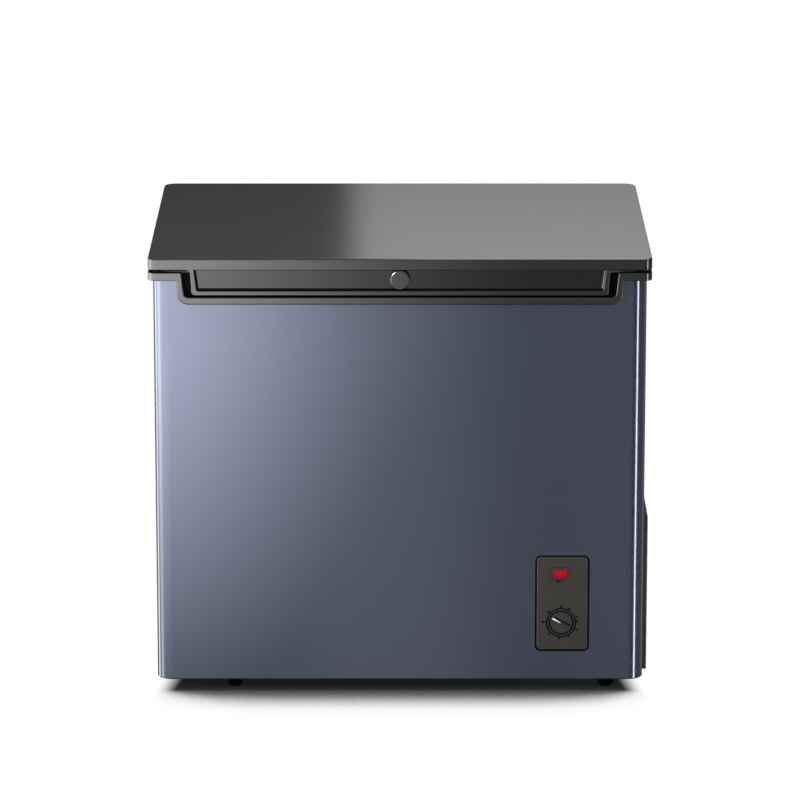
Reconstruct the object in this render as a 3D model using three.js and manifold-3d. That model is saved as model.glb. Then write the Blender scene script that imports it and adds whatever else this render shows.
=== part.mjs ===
// Small chest freezer with a top-opening lid, millimetres, +Z up.
// The front faces -Y, the floor is Z = 0 and X = 0 is the middle of the width.
// The origin is the middle of the footprint, hinges included.

import * as THREE from 'three';
import { mergeVertices } from 'three/addons/utils/BufferGeometryUtils.js';
import Module from 'manifold-3d';

const wasm = await Module();
wasm.setup();

// --- Overall sizes ---------------------------------------------------------
const LID_WIDTH = 580;
const LID_DEPTH = 436;
const OVERALL_HEIGHT = 520;
const SEAT = 0.3; // clearance between pieces that touch
const PAST = 1; // how far a cutting tool runs past the face that it cuts
const BEYOND = 1000; // reach of a tool that cuts everything on one side
const HINGE_PIN_BEHIND = 7; // pin behind the lid's back
const HINGE_EYE = 5.6; // radius round the pin

const FRONT = -(LID_DEPTH + HINGE_PIN_BEHIND + HINGE_EYE) / 2;
const LID_BACK = FRONT + LID_DEPTH;
const LID_SIDE = LID_WIDTH / 2;

// --- Lid -------------------------------------------------------------------
const LID_BAND = 13.6; // height of the lid's edge
const LID_GAP = 3; // dark joint between lid and collar
const LID_WALL = 2.6;
const LID_FRONT_RADIUS = 9.5;
const LID_BACK_RADIUS = 14.5;
const LID_EDGE = 1.8; // rounding along the lid's top and bottom edges
const LID_UNDER = OVERALL_HEIGHT - LID_BAND;

const APRON_HALF = 241.4; // apron at the lid's underside
const APRON_TAPER = 1.8; // each side, over the apron's height
const APRON_DROP = 29.9; // apron below the lid's underside
const APRON_DEPTH = 11;
const APRON_CORNER = 4;
const APRON_FLARE = 5.5; // fillet where the apron meets the lid's edge
const APRON_EDGE = 1.2;
const POCKET_LEG = 4.9; // apron left beside the pocket, at the top
const POCKET_LEG_FOOT = 6.1; // the same, at the bottom
const POCKET_DROP = 22;
const POCKET_DEPTH = 9.3; // at the top
const POCKET_FOOT_DEPTH = 7; // at the bottom, so the back leans upwards
const BOSS_RADIUS = 11.5;
const BOSS_DROP = 11.7; // boss centre below the lid's underside
const BOSS_CAP_THICKNESS = 2.2;

const LID_LINER_WALL = 1.4;
const PLUG_DROP = 30; // how far the lid's liner sinks into the tank
const PLUG_EDGE = 6;
const PLUG_CLEARANCE = 12; // all round, for the basket's hangers

const GASKET_INSET = 15;
const GASKET_WIDTH = 11;
const GASKET_LIP = 1.2;

// --- Cabinet skin ----------------------------------------------------------
const SKIN_INSET = 5.3; // skin inside the outline of lid and collar
const BACK_INSET = 8; // skin's back inside the lid's back
const BODY_RADIUS = 18;
const SHEET = 0.8;
const FOOT_HEIGHT = 14;
const REAR_FLANGE = 12;
const BOTTOM_FLANGE = 16;

const BODY_SIDE = LID_SIDE - SKIN_INSET;
const BODY_FRONT = FRONT + SKIN_INSET;
const BODY_BACK = LID_BACK - BACK_INSET;

// --- Collar ----------------------------------------------------------------
const COLLAR_SKIRT = 9.5; // height of the collar's outer edge
const COLLAR_LIP = 3.4; // outer edge above the land that the gasket meets
const COLLAR_PLATE = 2.5;
const COLLAR_THROAT = 18; // collar's skirt inside the tank
const COLLAR_THROAT_WALL = 1.7;
const COLLAR_EDGE = 2;
const COLLAR_BACK_RADIUS = 14;
const COLLAR_TOP = LID_UNDER - LID_GAP;
const LAND = COLLAR_TOP - COLLAR_LIP;
const COLLAR_UNDER = COLLAR_TOP - COLLAR_SKIRT;

const NOTCH_GAP = 10.1; // beside the apron, at the top
const NOTCH_GAP_FOOT = 8.4; // the same, at the bottom
const NOTCH_GAP_BELOW = 2; // under the apron
const NOTCH_DEPTH = 13;
const NOTCH_RADIUS = 4.5;
const NOTCH_WALL = 2;
const NOTCH_LEG = 5; // border beside the notch
const NOTCH_BORDER = 8.5; // border under the notch
const NOTCH_BORDER_RADIUS = 13.5;
const NOTCH_BORDER_EDGE = 1.5;
const NOTCH_FLOOR = LID_UNDER - APRON_DROP - NOTCH_GAP_BELOW;

// --- Tank and insulation ---------------------------------------------------
const SIDE_WALL = 50.2; // skin to tank
const FRONT_WALL = 48;
const FLOOR_WALL = 44;
const TANK_RADIUS = 25;
const TANK_FILLET = 8;
const LINER_WALL = 1;
const LINER_FLANGE = 12;
const STEP_WIDTH = 170; // raised floor over the compressor
const STEP_HEIGHT = 190;
const STEP_WALL = 46.5; // insulation beside the compressor
const STEP_CEILING = 42; // insulation above the compressor

const TANK_SIDE = BODY_SIDE - SIDE_WALL;
const TANK_FRONT = BODY_FRONT + FRONT_WALL;
const TANK_BACK = BODY_BACK - FRONT_WALL;
const TANK_FLOOR = FOOT_HEIGHT + FLOOR_WALL;
const TANK_STEP_X = TANK_SIDE - STEP_WIDTH;
const TANK_STEP_Z = TANK_FLOOR + STEP_HEIGHT;
const LINER_TOP = LAND - COLLAR_PLATE - SEAT;
const MOUTH_SIDE = TANK_SIDE - SEAT - COLLAR_THROAT_WALL;
const MOUTH_FRONT = TANK_FRONT + SEAT + COLLAR_THROAT_WALL;
const MOUTH_BACK = TANK_BACK - SEAT - COLLAR_THROAT_WALL;
const MOUTH_RADIUS = TANK_RADIUS - SEAT - COLLAR_THROAT_WALL;
const MOUTH_MIDDLE = (MOUTH_FRONT + MOUTH_BACK) / 2;

const BAY_WALL_X = TANK_STEP_X + LINER_WALL + STEP_WALL; // foam's side of the compressor bay
const BAY_TOP = TANK_STEP_Z - LINER_WALL - STEP_CEILING;
const PAN_BOTTOM = FOOT_HEIGHT + SHEET + SEAT;
const PAN_TOP = PAN_BOTTOM + SHEET;
const PAN_BEAD = 3;
const PAN_BEAD_WIDTH = 14;
const PAN_BEADS = 4;
const SKIN_INNER_SIDE = BODY_SIDE - SHEET - SEAT;
const SKIN_INNER_FRONT = BODY_FRONT + SHEET + SEAT;
const REAR_PANEL_OUTER = BODY_BACK - SHEET - SEAT;
const REAR_PANEL_INNER = REAR_PANEL_OUTER - SHEET;

// --- Refrigeration ---------------------------------------------------------
const EVAPORATOR_TUBE = 4; // radius
const EVAPORATOR_TURNS = 4;
const EVAPORATOR_PITCH = 50;
const EVAPORATOR_TOP = 30; // first turn below the liner's rim
const EVAPORATOR_BEND = 16;
const CONDENSER_TUBE = 2.4; // radius
const CONDENSER_PASSES = 4;
const CONDENSER_PITCH = 52;
const CONDENSER_BEND = 20;
const TUBE_SIDES = 6;
const TUBE_BEND = 10; // bends of the tubes in the bay
const POT_SIDES = 16;
const WIRE_SIDES = 4;
const TUBE_HOLE = 1.5; // play round a tube through sheet

const TRAY_THICKNESS = 1.2;
const TRAY_FLANGE = 12;
const COMPRESSOR_FROM_WALL = 84; // compressor's middle from the bay's wall
const COMPRESSOR_FROM_BACK = 125.7; // and from the skin's back
const COMPRESSOR_RADIUS = 56;
const COMPRESSOR_BODY = 132; // height of the shell
const COMPRESSOR_SEAM = 2.5; // weld flange beyond the shell
const SEAM_HEIGHT = 4;
const COMPRESSOR_LIFT = 2; // shell above its own feet plate
const FEET_PLATE = 3;
const FEET_SPAN_X = 116;
const FEET_SPAN_Y = 84;
const GROMMET_RADIUS = 9;
const GROMMET_HEIGHT = 11; // under the feet plate
const GROMMET_NECK = 5.2;
const GROMMET_CAP = 4;
const STUD_RADIUS = 3.2;
const STUD_TALL = 8; // stud above the grommet
const TRAY_SLOTS = 4; // air slots under the compressor's front
const TRAY_SLOT_WIDTH = 10;
const TRAY_SLOT_LENGTH = 80;
const TRAY_SLOT_PITCH = 34;
const TRAY_SLOT_FIRST = 60; // first slot behind the skin
const POT_DISH = 26; // height of the pot's rounded bottom
const POT_DOME = 30; // height of its rounded top
const POT_SEAM_AT = 0.52; // seam's share of the pot's height
const SADDLE_TALL = 14; // feet plate's saddle on the pot
const FILL_TUBE = 3; // radius of the pinched-off filling tube
const FILL_TUBE_Z = 40; // above the pot's base
const FILL_TUBE_TALL = 34;
const PORT_Z = 40; // tubes enter the pot this far above its feet
const RELAY_WIDTH = 48;
const RELAY_HEIGHT = 44;
const RELAY_PROUD = 26; // in front of the pot
const RELAY_Z = 34; // above the pot's feet
const RELAY_PLUG = 4; // terminal cover's boss
const CAPILLARY_TUBE = 1.2; // radius
const CAPILLARY_FROM_BACK = 10;
const CAPILLARY_LOOP = 22; // its bend below the drier
const DRIER_RADIUS = 8;
const DRIER_LENGTH = 70;
const DRIER_CONE = 8;
const DRIER_NECK = 6;
const DRIER_FROM_SIDE = 28;
const DRIER_FROM_BACK = 22;
const DRIER_UNDER = 44; // drier's top below the bay's ceiling
const EVAPORATOR_INLET_FROM_WALL = 38; // tube drops from the bay's wall
const EVAPORATOR_OUTLET_FROM_WALL = 66;
const EVAPORATOR_DROP_OFF = 12; // inlet's drop runs behind the turns
const EVAPORATOR_UNDER = 20; // evaporator's ends below the bay's ceiling
const CONDENSER_UNDER = 40; // condenser's start below the bay's ceiling
const CONDENSER_OVER = 32; // first pass above the bay's ceiling
const CONDENSER_TURN = 34; // bends before the rear panel
const CONDENSER_RETURN = 16; // falling tube before the rear panel
const CONDENSER_START_INSET = 18; // rising tube inside the side's run, clear of the louvres

const COMPRESSOR_X = BAY_WALL_X + COMPRESSOR_FROM_WALL;
const COMPRESSOR_Y = BODY_BACK - COMPRESSOR_FROM_BACK;
const TRAY_TOP = PAN_BOTTOM + TRAY_THICKNESS;
const FEET_UNDER = TRAY_TOP + SEAT + GROMMET_HEIGHT + SEAT;
const POT_BASE = FEET_UNDER + FEET_PLATE + COMPRESSOR_LIFT;
const POT_REACH = COMPRESSOR_RADIUS + COMPRESSOR_SEAM + SEAT;
const EVAPORATOR_INLET_X = BAY_WALL_X + EVAPORATOR_INLET_FROM_WALL;
const EVAPORATOR_OUTLET_X = BAY_WALL_X + EVAPORATOR_OUTLET_FROM_WALL;
const EVAPORATOR_END = BAY_TOP - EVAPORATOR_UNDER;
const CONDENSER_END = BAY_TOP - CONDENSER_UNDER;
const DRIER_X = BODY_SIDE - DRIER_FROM_SIDE;
const DRIER_Y = REAR_PANEL_INNER - DRIER_FROM_BACK;
const DRIER_TOP = BAY_TOP - DRIER_UNDER;

// --- Controls --------------------------------------------------------------
const PLATE_FROM_SIDE = 95.2; // plate's middle from the skin's side
const PLATE_ABOVE = 92.9; // and above the skin's lower edge
const PLATE_WIDTH = 59.2;
const PLATE_HEIGHT = 112.4;
const PLATE_RADIUS = 4.6;
const PLATE_THICKNESS = 2.4;
const PLATE_PROUD = 0.6;
const PLATE_GAP = 1.4; // dark line round the plate
const BOX_FLANGE = 4;
const BOX_WALL = 2;
const BOX_DEPTH = 33;
const BOX_LEDGE = 3;
const WINDOW_OFF_X = -2.8; // lamp's window from the plate's middle
const WINDOW_OFF_Z = 36.7;
const LENS_WIDTH = 16.3;
const LENS_HEIGHT = 8.5;
const LENS_LENGTH = 7;
const LENS_PROUD = 0.5;
const LENS_RADIUS = 0.8;
const BEZEL_WALL = 1.2;
const BEZEL_FRAME = 1.1;
const BEZEL_PROUD = 0.8;
const BEZEL_DEPTH = 5;
const DIAL_OFF_X = -1; // dial from the plate's middle
const DIAL_OFF_Z = -23.2;
const DIAL_RADIUS = 13.9;
const DIAL_GAP = 1.1;
const DIAL_RIM = 1.9; // raised ring on the plate
const DIAL_GROOVE = 1;
const DIAL_GROOVE_DEPTH = 0.8;
const DIAL_PROUD = 0.6; // disc in front of the plate
const DIAL_THICKNESS = 3;
const GRIP_WIDTH = 2.8;
const GRIP_PROUD = 3.4;
const GRIP_ANGLE = 150; // degrees from +X, seen from the front
const HUB_RADIUS = 5.5;
const HUB_LENGTH = 6;
const HUB_ROOM = 3; // behind the hub
const SPINDLE_RADIUS = 3;
const THERMOSTAT_WIDTH = 36;
const THERMOSTAT_HEIGHT = 34;
const BUSHING_RADIUS = 5;
const BUSHING_LENGTH = 2;
const BELLOWS_RADIUS = 6;
const BELLOWS_PROUD = 4;

const PLATE_X = BODY_SIDE - PLATE_FROM_SIDE;
const PLATE_Z = FOOT_HEIGHT + PLATE_ABOVE;
const PLATE_FACE = BODY_FRONT - PLATE_PROUD;
const PLATE_REAR = PLATE_FACE + PLATE_THICKNESS;
const BOX_FRONT = BODY_FRONT + SHEET + SEAT;
const BOX_BACK = BOX_FRONT + BOX_DEPTH;
const WINDOW_X = PLATE_X + WINDOW_OFF_X;
const WINDOW_Z = PLATE_Z + WINDOW_OFF_Z;
const LENS_FACE = PLATE_FACE - SEAT - LENS_PROUD;
const LENS_REAR = LENS_FACE + LENS_LENGTH;
const DIAL_X = PLATE_X + DIAL_OFF_X;
const DIAL_Z = PLATE_Z + DIAL_OFF_Z;
const THERMOSTAT_BACK = BOX_BACK - BOX_WALL - SEAT;
const THERMOSTAT_FRONT = PLATE_REAR + HUB_LENGTH + BUSHING_LENGTH + HUB_ROOM;

// --- Covers ----------------------------------------------------------------
const COVER_FRONT = 35; // cover's front edge behind the lid's front
const COVER_REAR = 16; // cover's rear edge before the skin's back
const COVER_BOTTOM = 18;
const COVER_FULL = 203; // top of the full thickness
const COVER_TOP = 225;
const COVER_WALL = 2.2;
const COVER_EDGE = 1.5;
const COVER_RIM = 10; // cover past the skin's cut-out
const LOUVRE_COLUMNS = 2;
const LOUVRE_ROWS = 10;
const LOUVRE_PITCH = 15.5;
const LOUVRE_OPEN = 5;
const LOUVRE_BRIDGE = 14; // solid strip between columns
const LOUVRE_LOW = 36; // first slot
const LOUVRE_BLADE = 9;
const LOUVRE_BLADE_THICKNESS = 1.4;
const LOUVRE_ANGLE = 40;

const REAR_COVER_MARGIN = 6; // overlap on the rear panel
const REAR_COVER_THICKNESS = 1;
const REAR_SLOT_COLUMNS = 2;
const REAR_SLOT_ROWS = 9;
const REAR_SLOT_PITCH = 15;
const REAR_SLOT_HEIGHT = 5;
const REAR_SLOT_BRIDGE = 16;
const GLAND_RADIUS = 8;
const GLAND_FLANGE = 11;
const GLAND_BORE = 4;
const GLAND_INSET = 4; // gland's edge from the opening's edges
const REAR_BEAD = 1.2;
const REAR_BEAD_WIDTH = 16;
const REAR_BEADS = 3;

// --- Feet ------------------------------------------------------------------
const FOOT_INSET_LEFT = 90.2; // foot's middle inside the skin's left side
const FOOT_INSET_RIGHT = 42.7;
const FOOT_INSET_Y = 26; // and inside its front and back
const FOOT_TOP_RADIUS = 12;
const FOOT_BOTTOM_RADIUS = 8;
const FOOT_STUD_RADIUS = 3;
const FOOT_STUD_TALL = 6;

// --- Hinges ----------------------------------------------------------------
const HINGE_INSET = 122; // hinge's middle inside the lid's side
const HINGE_PLATE_WIDTH = 60;
const HINGE_PLATE_HEIGHT = 54;
const HINGE_SHEET = 2;
const HINGE_EAR_SPAN = 20; // ear's middle from the hinge's middle
const HINGE_PIN_RADIUS = 2.5;
const HINGE_PIN_HEAD = 4;
const HINGE_PIN_HEAD_LENGTH = 1.6;
const HINGE_PIN_BELOW = 9.4; // pin below the lid's underside
const LEAF_EAR_SPAN = 16.5;
const LEAF_WIDTH = 52;
const LEAF_BOTTOM = 1.6; // leaf's lower edge above the lid's underside
const SPRING_RADIUS = 4;
const SPRING_WIRE = 0.7;
const SPRING_TURNS = 3;
const SPRING_SEGMENTS = 8; // facets of one turn
const SCREW_RADIUS = 2;
const SCREW_HEAD_RADIUS = 3.8;
const SCREW_HEAD = 1.8;
const SCREW_LENGTH = 10;
const SCREW_SPACING = 36;

const HINGE_X = LID_SIDE - HINGE_INSET;
const PIN_Y = LID_BACK + HINGE_PIN_BEHIND;
const PIN_Z = LID_UNDER - HINGE_PIN_BELOW;

// --- Basket ----------------------------------------------------------------
const BASKET_LENGTH = 200; // rim, left to right
const BASKET_FLOOR_LENGTH = 168;
const BASKET_FLOOR_TAPER = 22; // floor inside the rim, front and back
const BASKET_ABOVE_STEP = 42; // basket's floor above the tank's step
const BASKET_RIM_DROP = 32; // rim under the land
const BASKET_RADIUS = 20;
const BASKET_SIDE_ROOM = 7.5; // rim inside the tank's mouth, at its right
const RIM_WIRE = 2.2; // radius
const MESH_WIRE = 1.5; // radius
const BASKET_LONG_WIRES = 6;
const BASKET_CROSS_WIRES = 4;
const BASKET_RINGS = 1; // under the rim
const WIRE_LAP = 2; // overlap where a wire's ends are welded
const HANGER_SPACING = 110;
const HANGER_REACH = 22; // hook's end past the hanging wire

const ARC_STEPS = 2; // half the facets of a quarter circle

// --- Helpers ---------------------------------------------------------------

// A closed geometry as a solid that can be joined and cut.
function solid(geometry) {
  const bare = geometry.clone();
  bare.deleteAttribute('normal');
  bare.deleteAttribute('uv');
  const merged = mergeVertices(bare, 1e-4);
  return new wasm.Manifold(new wasm.Mesh({
    numProp: 3,
    vertProperties: new Float32Array(merged.attributes.position.array),
    triVerts: new Uint32Array(merged.index.array),
  }));
}

function geometryOf(body) {
  const mesh = body.getMesh();
  const geometry = new THREE.BufferGeometry();
  geometry.setAttribute('position', new THREE.BufferAttribute(mesh.vertProperties, 3));
  geometry.setIndex(new THREE.BufferAttribute(mesh.triVerts, 1));
  geometry.computeVertexNormals();
  return geometry;
}

function join(...bodies) {
  return bodies.reduce((whole, body) => whole.add(body));
}

function cut(body, ...tools) {
  return tools.reduce((rest, tool) => rest.subtract(tool), body);
}

function block(x0, x1, y0, y1, z0, z1) {
  const geometry = new THREE.BoxGeometry(x1 - x0, y1 - y0, z1 - z0);
  geometry.translate((x0 + x1) / 2, (y0 + y1) / 2, (z0 + z1) / 2);
  return solid(geometry);
}

// Closed outline through corners [a, b, radius], with an arc at each rounded one.
function outline(corners) {
  const shape = new THREE.Shape();
  corners.forEach(([a, b, radius = 0], i) => {
    const before = corners[(i + corners.length - 1) % corners.length];
    const after = corners[(i + 1) % corners.length];
    const here = new THREE.Vector2(a, b);
    const back = new THREE.Vector2(before[0], before[1]).sub(here).normalize();
    const ahead = new THREE.Vector2(after[0], after[1]).sub(here).normalize();
    const half = back.angleTo(ahead) / 2;
    const reach = radius / Math.tan(half);
    const middle = back.clone().add(ahead).normalize().multiplyScalar(radius / Math.sin(half)).add(here);
    if (radius <= 0) {
      if (i === 0) shape.moveTo(a, b);
      else shape.lineTo(a, b);
      return;
    }
    const start = here.clone().addScaledVector(back, reach);
    const end = here.clone().addScaledVector(ahead, reach);
    if (i === 0) shape.moveTo(start.x, start.y);
    else shape.lineTo(start.x, start.y);
    const from = Math.atan2(start.y - middle.y, start.x - middle.x);
    const to = Math.atan2(end.y - middle.y, end.x - middle.x);
    const clockwise = back.x * ahead.y - back.y * ahead.x > 0;
    shape.absarc(middle.x, middle.y, radius, from, to, clockwise);
  });
  shape.closePath();
  return shape;
}

// Rectangle with its own radius at the low-b and the high-b corners.
function rectangle(a0, a1, b0, b1, lowRadius = 0, highRadius = lowRadius) {
  return outline([
    [a0, b0, lowRadius],
    [a1, b0, lowRadius],
    [a1, b1, highRadius],
    [a0, b1, highRadius],
  ]);
}

// Outline in X and Y, standing from z0 to z1. The edge is rounded at both ends.
function upright(shape, z0, z1, edge = 0, edgeSteps = 2, arcSteps = ARC_STEPS) {
  const geometry = extrusion(shape, z1 - z0, edge, edgeSteps, arcSteps);
  geometry.translate(0, 0, z0);
  return solid(geometry);
}

// Outline in X and Z, running back from y0 to y1.
function across(shape, y0, y1, edge = 0, edgeSteps = 2, arcSteps = ARC_STEPS) {
  const geometry = extrusion(shape, y1 - y0, edge, edgeSteps, arcSteps);
  geometry.rotateX(Math.PI / 2);
  geometry.translate(0, y1, 0);
  return solid(geometry);
}

// Outline in Y and Z, running from x0 to x1.
function sideways(shape, x0, x1) {
  const geometry = extrusion(shape, x1 - x0, 0, 1, 1);
  const turned = new THREE.Matrix4().makeBasis(
    new THREE.Vector3(0, 1, 0),
    new THREE.Vector3(0, 0, 1),
    new THREE.Vector3(1, 0, 0),
  );
  geometry.applyMatrix4(turned);
  geometry.translate(x0, 0, 0);
  return solid(geometry);
}

function extrusion(shape, length, edge, edgeSteps, arcSteps = ARC_STEPS) {
  const geometry = new THREE.ExtrudeGeometry(shape, {
    depth: length - 2 * edge,
    curveSegments: arcSteps,
    bevelEnabled: edge > 0,
    bevelThickness: edge,
    bevelSize: edge,
    bevelOffset: -edge,
    bevelSegments: edgeSteps,
  });
  geometry.translate(0, 0, edge);
  return geometry;
}

// Solid of revolution about a line along Z, from [radius, z] points.
function turned(points, x, y, sides = 12) {
  const profile = points.map(([radius, z]) => new THREE.Vector2(radius, z));
  const geometry = new THREE.LatheGeometry(profile, sides);
  geometry.rotateX(Math.PI / 2);
  geometry.translate(x, y, 0);
  return solid(geometry);
}

// The same about a line along Y, from [radius, y] points.
function turnedAcross(points, x, z, sides = 12) {
  const profile = points.map(([radius, y]) => new THREE.Vector2(radius, y));
  const geometry = new THREE.LatheGeometry(profile, sides);
  geometry.translate(x, 0, z);
  return solid(geometry);
}

function rodX(x0, x1, y, z, radius, sides = 12) {
  const geometry = new THREE.CylinderGeometry(radius, radius, x1 - x0, sides);
  geometry.rotateZ(Math.PI / 2);
  geometry.translate((x0 + x1) / 2, y, z);
  return solid(geometry);
}

function rodY(y0, y1, x, z, radius, sides = 12) {
  const geometry = new THREE.CylinderGeometry(radius, radius, y1 - y0, sides);
  geometry.translate(x, (y0 + y1) / 2, z);
  return solid(geometry);
}

function rodZ(z0, z1, x, y, radius, sides = 12) {
  const geometry = new THREE.CylinderGeometry(radius, radius, z1 - z0, sides);
  geometry.rotateX(Math.PI / 2);
  geometry.translate(x, y, (z0 + z1) / 2);
  return solid(geometry);
}

// A run of tube through its bend points, with a section at each of them.
class Run extends THREE.Curve {
  constructor(points) {
    super();
    this.points = points;
  }

  getPoint(t) {
    const last = this.points.length - 1;
    const at = Math.min(Math.max(t, 0), 1) * last;
    const i = Math.min(Math.floor(at), last - 1);
    return this.points[i].clone().lerp(this.points[i + 1], at - i);
  }

  getUtoTmapping(u) {
    return u;
  }
}

// Bend at each inner point, cut into steps of at most the given angle.
function bent(corners, radius, stepAngle) {
  const points = [];
  corners.forEach((corner, i) => {
    if (i === 0 || i === corners.length - 1) {
      points.push(corner);
      return;
    }
    const back = corners[i - 1].clone().sub(corner);
    const ahead = corners[i + 1].clone().sub(corner);
    const room = Math.min(back.length(), ahead.length()) / 2.1;
    back.normalize();
    ahead.normalize();
    const half = back.angleTo(ahead) / 2;
    const reach = Math.min(radius / Math.tan(half), room);
    const start = corner.clone().addScaledVector(back, reach);
    const end = corner.clone().addScaledVector(ahead, reach);
    const steps = Math.max(1, Math.ceil((Math.PI - 2 * half) / stepAngle));
    const arc = new THREE.QuadraticBezierCurve3(start, corner, end);
    points.push(...arc.getPoints(steps));
  });
  return points;
}

function sweep(section, points) {
  const geometry = new THREE.ExtrudeGeometry(section, {
    steps: points.length - 1,
    extrudePath: new Run(points),
    bevelEnabled: false,
  });
  return solid(geometry);
}

function polygon(radius, sides) {
  const angles = Array.from({ length: sides }, (_, i) => (2 * Math.PI * (i + 0.5)) / sides);
  return new THREE.Shape(angles.map((a) => new THREE.Vector2(radius * Math.cos(a), radius * Math.sin(a))));
}

function tube(corners, radius, bend, sides = TUBE_SIDES, stepAngle = Math.PI / 4) {
  return sweep(polygon(radius, sides), bent(corners, bend, stepAngle));
}

// Long tube in the foam, with coarser bends.
function coil(corners, radius, bend) {
  return tube(corners, radius, bend, TUBE_SIDES, Math.PI / 2);
}

// Square channel round a coil, wide enough for it.
function channel(corners, radius, bend) {
  const half = radius + SEAT;
  const section = rectangle(-half, half, -half, half);
  return sweep(section, bent(corners, bend, Math.PI / 2));
}

function at(x, y, z) {
  return new THREE.Vector3(x, y, z);
}

function paint(color, roughness, metalness = 0) {
  return new THREE.MeshStandardMaterial({ color, roughness, metalness });
}

const freezer = new THREE.Group();

function piece(name, body, material) {
  const mesh = new THREE.Mesh(geometryOf(body), material);
  mesh.name = name;
  freezer.add(mesh);
}

const blueSteel = paint(0x59627a, 0.35, 0.6);
const blackGloss = paint(0x1b1c1f, 0.15);
const blackPlastic = paint(0x202124, 0.5);
const whitePlastic = paint(0xf1f2f0, 0.4);
const whiteWire = paint(0xeceded, 0.45);
const foamYellow = paint(0xe3cf96, 0.9);
const zincSteel = paint(0xa9adb1, 0.45, 0.8);
const copper = paint(0xb87046, 0.35, 0.9);
const blackSteel = paint(0x17181a, 0.4, 0.3);
const greyRubber = paint(0x8e9194, 0.8);
const blackRubber = paint(0x191919, 0.85);
const platePlastic = paint(0x423f3c, 0.4);
const redLens = paint(0xc80a0a, 0.2);

// --- Outlines shared by several pieces -------------------------------------

// Cabinet outline, moved in by the given amount.
function bodyOutline(inset, back = BODY_BACK - inset) {
  const side = BODY_SIDE - inset;
  return rectangle(-side, side, BODY_FRONT + inset, back, Math.max(BODY_RADIUS - inset, 0.5), 0);
}

// Room inside the tank, grown by the given amount, reaching above the rim.
function tankRoom(grow) {
  const radius = TANK_RADIUS + grow;
  const fillet = TANK_FILLET + grow;
  const above = LINER_TOP + 3 * fillet;
  const deep = rectangle(
    -TANK_SIDE - grow, TANK_STEP_X + grow, TANK_FRONT - grow, TANK_BACK + grow, radius,
  );
  const wide = rectangle(
    -TANK_SIDE - grow, TANK_SIDE + grow, TANK_FRONT - grow, TANK_BACK + grow, radius,
  );
  return join(
    upright(deep, TANK_FLOOR - grow, above, fillet, 1),
    upright(wide, TANK_STEP_Z - grow, above, fillet, 1),
  );
}

// Notch in the collar's front, seen from the front and grown all round.
function notchShape(grow) {
  const top = APRON_HALF + NOTCH_GAP + grow;
  const foot = APRON_HALF - APRON_TAPER + NOTCH_GAP_FOOT + grow;
  const high = COLLAR_TOP + 1;
  return outline([
    [-top, high],
    [-foot, NOTCH_FLOOR - grow, NOTCH_RADIUS + grow],
    [foot, NOTCH_FLOOR - grow, NOTCH_RADIUS + grow],
    [top, high],
  ]);
}

// Mouth of the tank inside the collar, moved in by the given amount.
function mouthOutline(inset) {
  return rectangle(
    -MOUTH_SIDE + inset, MOUTH_SIDE - inset, MOUTH_FRONT + inset, MOUTH_BACK - inset,
    MOUTH_RADIUS - Math.min(inset, MOUTH_RADIUS / 2),
  );
}

function lidOutline(inset, front = FRONT + inset) {
  const side = LID_SIDE - inset;
  return rectangle(
    -side, side, front, LID_BACK - inset,
    Math.max(LID_FRONT_RADIUS - inset, 1), Math.max(LID_BACK_RADIUS - inset, 1),
  );
}

const footPlaces = {
  foot_front_left: [FOOT_INSET_LEFT - BODY_SIDE, BODY_FRONT + FOOT_INSET_Y],
  foot_front_right: [BODY_SIDE - FOOT_INSET_RIGHT, BODY_FRONT + FOOT_INSET_Y],
  foot_rear_left: [FOOT_INSET_LEFT - BODY_SIDE, BODY_BACK - FOOT_INSET_Y],
  foot_rear_right: [BODY_SIDE - FOOT_INSET_RIGHT, BODY_BACK - FOOT_INSET_Y],
};

function footHoles(play) {
  return Object.values(footPlaces).map(([x, y]) => (
    rodZ(FOOT_HEIGHT - 1, FOOT_HEIGHT + FOOT_STUD_TALL + play, x, y, FOOT_STUD_RADIUS + play, 10)
  ));
}

// --- Refrigerant routes ----------------------------------------------------

// Down the liner's outside in turns, then through the foam to the compressor bay.
function evaporatorRoute() {
  const off = LINER_WALL + SEAT + EVAPORATOR_TUBE;
  const side = TANK_SIDE + off;
  const front = TANK_FRONT - off;
  const back = TANK_BACK + off;
  const first = LINER_TOP - EVAPORATOR_TOP;
  const route = [at(EVAPORATOR_INLET_X, back + EVAPORATOR_DROP_OFF, EVAPORATOR_END)];
  route.push(at(EVAPORATOR_INLET_X, back + EVAPORATOR_DROP_OFF, first));
  for (let turn = 0; turn < EVAPORATOR_TURNS; turn += 1) {
    const z = first - turn * EVAPORATOR_PITCH;
    const next = z - EVAPORATOR_PITCH;
    route.push(at(-side, back, z), at(-side, front, z), at(side, front, z));
    route.push(at(side, back, turn === EVAPORATOR_TURNS - 1 ? z : (z + next) / 2));
  }
  const last = first - (EVAPORATOR_TURNS - 1) * EVAPORATOR_PITCH;
  route.push(at(EVAPORATOR_OUTLET_X, back, last), at(EVAPORATOR_OUTLET_X, back, EVAPORATOR_END));
  return route;
}

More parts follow.
